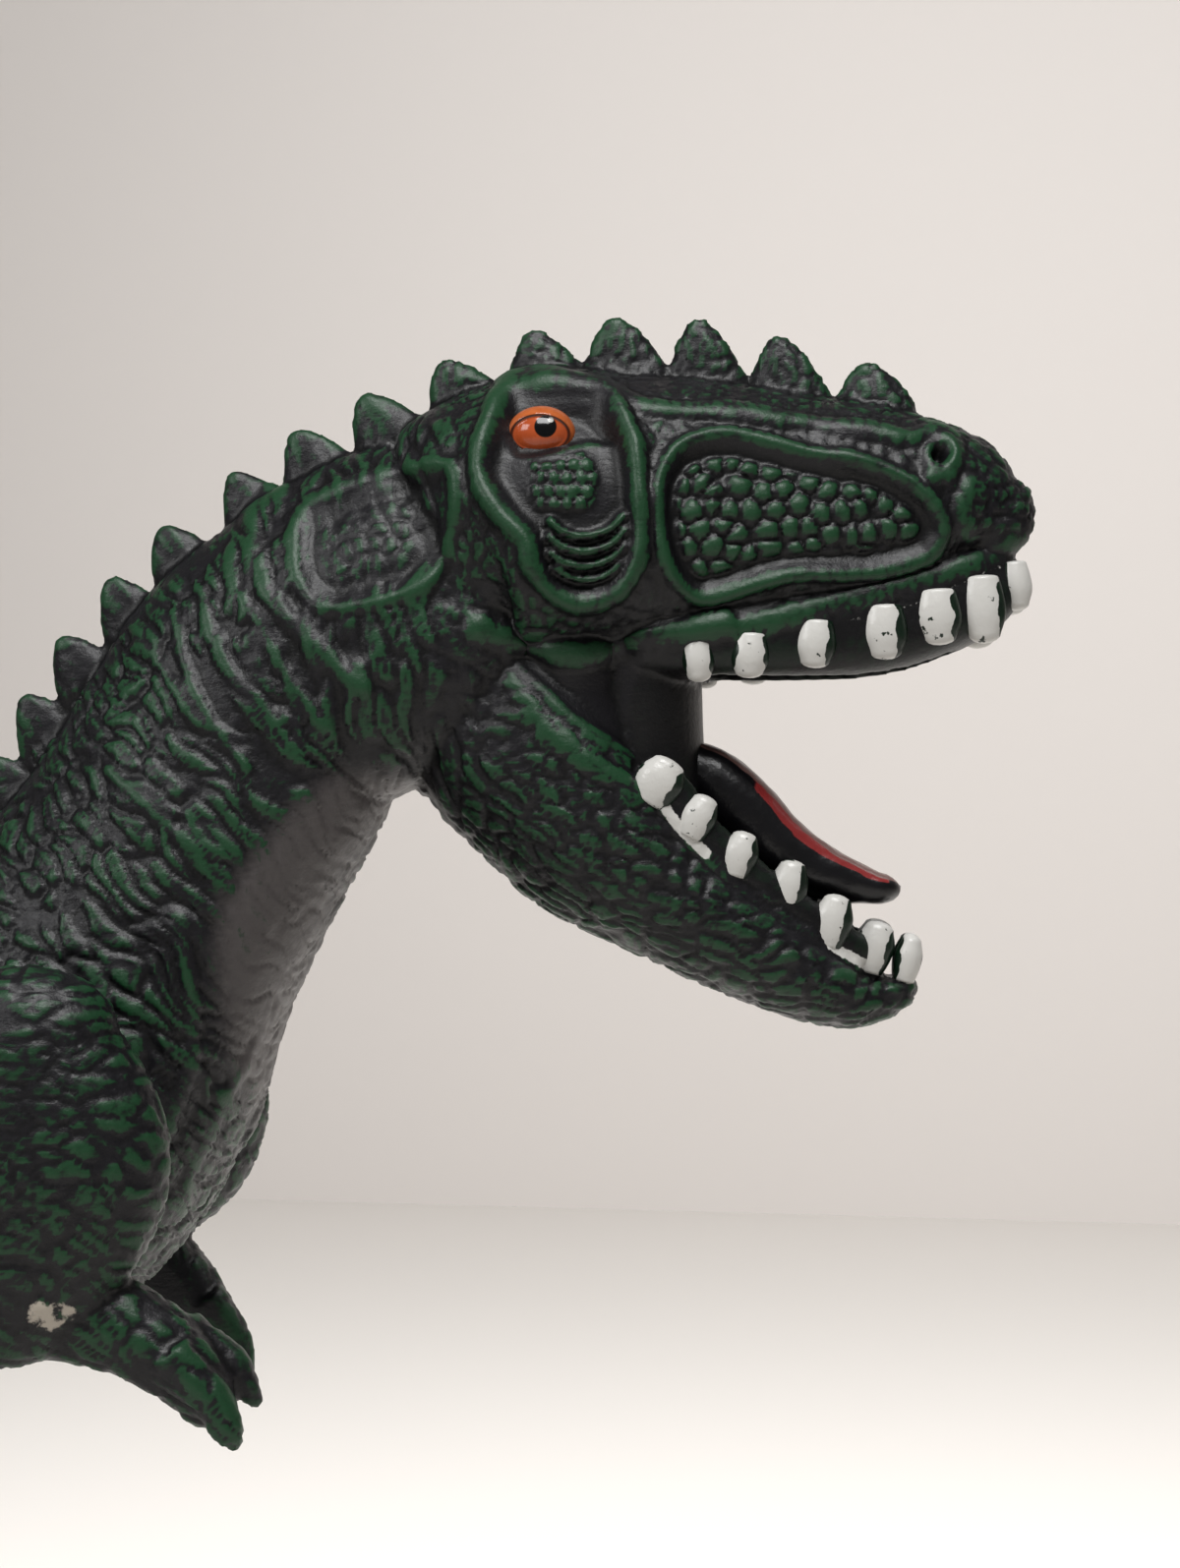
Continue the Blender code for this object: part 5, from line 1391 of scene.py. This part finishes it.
def build_eyes(tree):
    """An ellipsoid whose rim stands up as the lids."""
    for side, word in SIDES:
        at, outward = through(EYE, tree, side)
        shape = bmesh.new()
        bmesh.ops.create_uvsphere(shape, u_segments=96, v_segments=64, radius=1)
        openings = []
        for vert in shape.verts:
            x, y, z = vert.co
            gap = math.hypot(x / EYE_OPENING[0], (z + 0.05) / EYE_OPENING[1])
            lid = float(rise(0.92, 1.12, gap)) if y * side > 0 else 1.0
            openings.append(1 - gap / 2)
            vert.co = at - outward * EYE_STAND + Vector((
                x * EYE_HALF_WIDTH * PIXEL,
                y * EYE_HALF_DEPTH + side * (lid - 1) * LID_THICKNESS,
                z * EYE_HALF_HEIGHT * PIXEL,
            ))
        eye = close(shape, f"eye_{word}")
        layer = eye.data.attributes.new("opening", "FLOAT", "POINT")
        layer.data.foreach_set("value", openings)
        eye.data.materials.append(eye_finish(
            at + Vector((PUPIL_SHIFT[0] * PIXEL, 0, PUPIL_SHIFT[1] * PIXEL))
        ))
        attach(eye, "trunk")


# The tongue in the middle plane: its centre, its half height in pixels, its half width in mm
TONGUE = (
    ((664, 764), 0, 0), ((690, 776), 28, 6.0), ((724, 795), 35, 7.6), ((758, 827), 37, 7.8),
    ((790, 859), 34, 7.4), ((824, 881), 30, 6.8), ((858, 894), 24, 6.2), ((890, 902), 17, 5.4),
    ((914, 906), 0, 0),
)
TONGUE_RED_FROM = 745
TONGUE_RED_TO = 905
GROOVE_HALF = 1.6 * MM
GROOVE_DEPTH = 1.0 * MM


def build_tongue(finish):
    """A grooved tongue with red along its middle and a painted sheen on the crown of its top."""
    rows = [(spot(*pixel), half * PIXEL, wide * MM) for pixel, half, wide in TONGUE]
    tongue = swell("tongue_painted", rows, 60, 48, squares=(2.6, 2.2), flip=-1)
    skin = Skin("tongue_painted", tongue.data)
    groove = np.exp(-(skin.points[:, 1] / GROOVE_HALF) ** 2)
    groove *= rise(0.2, 0.8, skin.normals[:, 2])
    skin.push(-GROOVE_DEPTH * groove + 0.15 * MM * lumps(skin.points, 3 * MM, 4))
    facing = skin.normals[:, 2] + 0.45 * skin.normals[:, 0]
    reach = rise(spot(TONGUE_RED_FROM, 0).x, spot(TONGUE_RED_FROM + 50, 0).x, skin.points[:, 0])
    reach *= 1 - rise(spot(TONGUE_RED_TO - 8, 0).x, spot(TONGUE_RED_TO, 0).x, skin.points[:, 0])
    skin.paint("red", rise(0.42, 0.62, facing) * reach)
    # Painted sheen on the upturned crown, fainter in the groove
    skin.paint("sheen", rise(0.80, 0.95, facing) * (1 - 0.7 * groove))
    tongue.data.materials.append(finish)
    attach(tongue, "trunk")
    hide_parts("tongue")


def build_tail(trunk, finish):
    """The tail, cut off where it enters the trunk and where it lies on the floor."""
    rows = tail_rows(trunk)
    centre, axis, _, _ = frame_at(trunk, SOCKET_ROW)
    reach = TRUNK_DEPTH * 2
    forms = [swell("tail_form", rows, 120, 56, squares=TRUNK_SQUARES, egg=TRUNK_EGG_SHARE)]
    forms += even_fins("tail_fin", rows, TAIL_FINS_FROM_SHARE, TAIL_FINS_TO_SHARE,
                       TAIL_FIN_COUNT, *TAIL_FIN_SIZE)
    cuts = [
        drum("front_cut", centre, axis, -reach, GAP, TRUNK_DEPTH),
        slab("floor_cut", Vector((-1, -1, -0.2)) * reach * 3, Vector((reach * 3, reach * 3, 0))),
    ]
    skin = fused("tail", forms, cuts, LIMB_VOXEL)
    along = (skin.points - np.array(centre)) @ np.array(axis)
    taper = 0.25 + 0.75 * rise(rows[-1][0].x, rows[3][0].x, skin.points[:, 0])
    free = rise(0.5 * MM, 2.5 * MM, along) * rise(0.3 * MM, 2.5 * MM, skin.points[:, 2])
    folded, tops = wrinkles(skin, rows, "tail", taper)
    skin.push(folded * free)
    dress(skin, tops, "trunk", "tail_painted", "tail_skin", finish)


def dress(skin, tops, body, name, node, finish):
    """Paints a limb's skin, gives it its finish and its body, and hides its node."""
    skin.paint("brush", brushed(skin, tops))
    # Painted shade in the creases
    skin.paint("deep", crease_shade_mask(skin))
    for layer in ("throat_grey", "mouth", "white"):
        skin.paint(layer, np.zeros(len(skin.points)))
    skin.paint("worn", rise(-16, 14, inside(seen(skin.points), ELBOW_WEAR)) * (
        skin.points[:, 1] < 0))
    piece, = skin.slices(body, [name])
    piece.data.materials.append(finish)
    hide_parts(node)


def flank_block(name, side, outer):
    """Everything that lies further in than a limb's face."""
    reach = FIGURE_HEIGHT * 1.5
    low, high = sorted((-side * reach, side * outer))
    return slab(name, Vector((-reach, low, -reach)), Vector((reach, high, reach)))


def build_arm(side, word, finish):
    """An upper arm, forearm and fingers, flat against the shoulder's pad."""
    face = PAD + GAP
    middle = side * (face + ARM_LENGTH * ARM_UPPER_SHARES[2][3] * ARM_OUT_SHARE)
    turned_in = middle - side * FOREARM_IN_SHARE * ARM_LENGTH
    back = LEFT_ARM_BACK if side > 0 else 0
    rows = arm_rows(ARM_UPPER_SHARES, middle, back)
    forms = [
        swell(f"upper_arm_{word}", rows, 40, 48),
        swell(f"forearm_{word}", arm_rows(FOREARM_SHARES, turned_in, back), 30, 36),
    ]
    for k, (*points, radius, shift) in enumerate(FINGER_SHARES):
        finger = []
        for point, size in zip(points, (1, 0.8, 0)):
            half = radius * size * ARM_LENGTH
            finger.append((
                arm_point(*point, turned_in + side * shift * ARM_LENGTH, back), half, half
            ))
        finger.insert(0, (finger[0][0], 0, 0))
        forms.append(swell(f"finger_{word}_{k}", finger, 16, 24))
    skin = fused(f"arm_{word}", forms, [flank_block(f"arm_face_{word}", side, face)], LIMB_VOXEL)
    outer = rise(face + 0.4 * MM, face + 2.5 * MM, np.abs(skin.points[:, 1]))
    folded, tops = wrinkles(skin, rows, "arm", outer)
    skin.push(folded)
    dress(skin, tops, f"arm_{word}", f"arm_{word}_painted", f"arm_{word}", finish)


def build_leg(side, word, finish):
    """A leg with its toes and claws, flat against the hip's pad and on the floor."""
    face = PAD + GAP
    middle = side * (face + LEG_CENTRE_SHARE * LEG_WIDTH)
    rows = leg_rows(middle)
    forms = [swell(f"leg_form_{word}", rows, 90, 52)]
    ankle = place(ANKLE_X_SHARE * FIGURE_HEIGHT, 0).x
    for k, (angle, share) in enumerate(TOE_SPREADS):
        turn = math.radians(angle)
        ahead = Vector((math.cos(turn), side * math.sin(turn), 0))
        foot = Vector((ankle, middle, 0))
        stations = []
        for along, radius in TOE_STATION_SHARES:
            size = TOE_RADIUS * radius
            centre = foot + ahead * TOE_LENGTH * share * along
            centre.z = size - SOLE_SINK
            stations.append((centre, size, size))
        tip = foot + ahead * TOE_LENGTH * share * TOE_TIP_SHARES[0]
        tip.z = TOE_RADIUS * TOE_TIP_SHARES[1]
        flip = -1 if abs(angle) < 90 else 1
        toe = [(stations[0][0], 0, 0)] + stations + [(tip, 0, 0)]
        forms.append(swell(f"toe_{word}_{k}", toe, 29, 34, flip=flip))
        claw = foot + ahead * TOE_LENGTH * share * CLAW_ROOT_SHARES[0]
        claw.z = TOE_RADIUS * CLAW_ROOT_SHARES[1]
        low = claw + ahead * CLAW_LENGTH
        low.z = CLAW_RADIUS * CLAW_TIP_SHARE
        out, lift, thick = CLAW_BEND_SHARES
        bend = claw.lerp(low, out)
        bend.z = claw.z * lift
        forms.append(swell(f"claw_{word}_{k}", [
            (claw - ahead * CLAW_RADIUS, 0, 0), (claw, CLAW_RADIUS, CLAW_RADIUS),
            (bend, CLAW_RADIUS * thick, CLAW_RADIUS * thick), (low, 0, 0),
        ], 16, 24, flip=flip))
    reach = FIGURE_HEIGHT
    hip_high = rows[LEG_INSIDE_TO][0].z
    inner = Vector((-reach, min(-side * reach, side * face), hip_high))
    outer = Vector((reach, max(-side * reach, side * face), reach))
    skin = fused(f"leg_{word}", forms, [
        slab(f"leg_face_{word}", inner, outer),
        slab(f"leg_floor_{word}", Vector((-reach, -reach, -reach / 4)), Vector((reach, reach, 0))),
    ], LIMB_VOXEL)
    free = rise(0.3 * MM, 2.5 * MM, skin.points[:, 2])
    inward = np.abs(skin.points[:, 1]) < face + 1.5 * MM
    inward &= skin.points[:, 2] > hip_high - 2 * MM
    folded, tops = wrinkles(skin, rows, "leg", free * ~inward)
    skin.push(folded)
    dress(skin, tops, f"leg_{word}", f"leg_{word}_painted", f"leg_{word}", finish)


# The studio

WALL = (0.725, 0.685, 0.655)
TABLE = (0.86, 0.825, 0.785)
WALL_DISTANCE = 1500 * MM
WALL_TURN = math.radians(-7)
ROOM_REACH = 6
ROOM_TINT = (1.0, 0.985, 0.965, 1)
ROOM_LIGHT = 0.12
# Each lamp's name, place, size, power and what it points at
LAMPS = (
    ("window", (0.26, -0.50, 1.12), 0.5, 9.0, TARGET),
    ("room_fill", (-0.55, -0.60, 0.80), 0.4, 3.2, TARGET),
    ("wall_glow", (0.28, 0.30, 0.85), 0.9, 10.5, Vector((0.40, WALL_DISTANCE, 0.12))),
)


def pale(name, colour):
    """A plain pale surface that takes the light and shows at its own colour."""
    material = bpy.data.materials.new(name)
    material.use_nodes = True
    shader = material.node_tree.nodes["Principled BSDF"]
    shader.inputs["Base Color"].default_value = (*colour, 1)
    shader.inputs["Roughness"].default_value = 0.9
    return material


def plane(name, corners, material):
    shape = bmesh.new()
    shape.faces.new([shape.verts.new(corner) for corner in corners])
    thing = close(shape, name)
    thing.data.materials.append(material)
    return thing


def build_studio():
    """A pale table and wall, soft lamps, and the camera at the photograph's place."""
    far = ROOM_REACH
    turn = Matrix.Rotation(WALL_TURN, 4, "Z")
    at = Vector((TARGET.x, WALL_DISTANCE, 0))
    plane("table_top", [(-far, -far, 0), (far, -far, 0), (far, far, 0), (-far, far, 0)],
          pale("table_paper", TABLE))
    plane("wall", [at + turn @ Vector(corner) for corner in
                   ((-far, 0, 0), (far, 0, 0), (far, 0, far), (-far, 0, far))],
          pale("wall_paint", WALL))
    world = bpy.data.worlds.new("room")
    bpy.context.scene.world = world
    world.use_nodes = True
    room = world.node_tree.nodes["Background"]
    room.inputs["Color"].default_value = ROOM_TINT
    room.inputs["Strength"].default_value = ROOM_LIGHT
    for name, place_at, size, power, aim in LAMPS:
        light = bpy.data.lights.new(name, "AREA")
        light.shape = "SQUARE"
        light.size = size
        light.energy = power
        lamp = linked(name, light)
        lamp.location = place_at
        lamp.rotation_euler = (aim - Vector(place_at)).to_track_quat("-Z", "Y").to_euler()
    camera = bpy.data.cameras.new("camera")
    camera.sensor_fit = "HORIZONTAL"
    camera.angle = 2 * math.atan(FRAME_WIDE / 2 * PIXEL / CAMERA_DISTANCE)
    camera.clip_start = 10 * MM
    camera.clip_end = 20
    eye = linked("camera", camera)
    eye.location = EYE_POINT
    eye.rotation_euler = VIEW.to_track_quat("-Z", "Y").to_euler()
    bpy.context.scene.camera = eye
    bpy.context.scene.view_settings.view_transform = "Standard"


# The trunk's skin is cut into pieces here, in pixels, clear of the studs
TRUNK_BORDERS = (-130, 160, 430)
TRUNK_PIECES = ("back_painted", "chest_painted", "neck_painted", "head_painted")


def main():
    vinyl = skin_finish()
    skin, trunk = build_trunk()
    tree = BVHTree.FromPolygons(
        skin.points.tolist(), [tuple(face.vertices) for face in skin.mesh.polygons]
    )
    pieces = skin.slices("trunk", TRUNK_PIECES, [spot(px, 0).x for px in TRUNK_BORDERS])
    for piece in pieces:
        piece.data.materials.append(vinyl)
    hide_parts("trunk_skin")
    build_teeth(tree, tooth_finish())
    build_eyes(tree)
    build_tongue(tongue_finish())
    build_tail(trunk, vinyl)
    for side, word in SIDES:
        build_arm(side, word, vinyl)
        build_leg(side, word, vinyl)
    fibre = hidden_finish("packed_fibre", FIBRES, 6 * MM, 0.95)
    plastic = hidden_finish("hard_plastic", PLASTICS, 8 * MM, 0.4)
    for name, node in frame["nodes"].items():
        if name == "trunk_filling":
            dressing = fibre
        elif "stud" in name or "lock" in name or "washer" in name or name == "belly_plug":
            dressing = plastic
        else:
            continue
        node.data.materials.clear()
        node.data.materials.append(dressing)
    build_studio()


main()
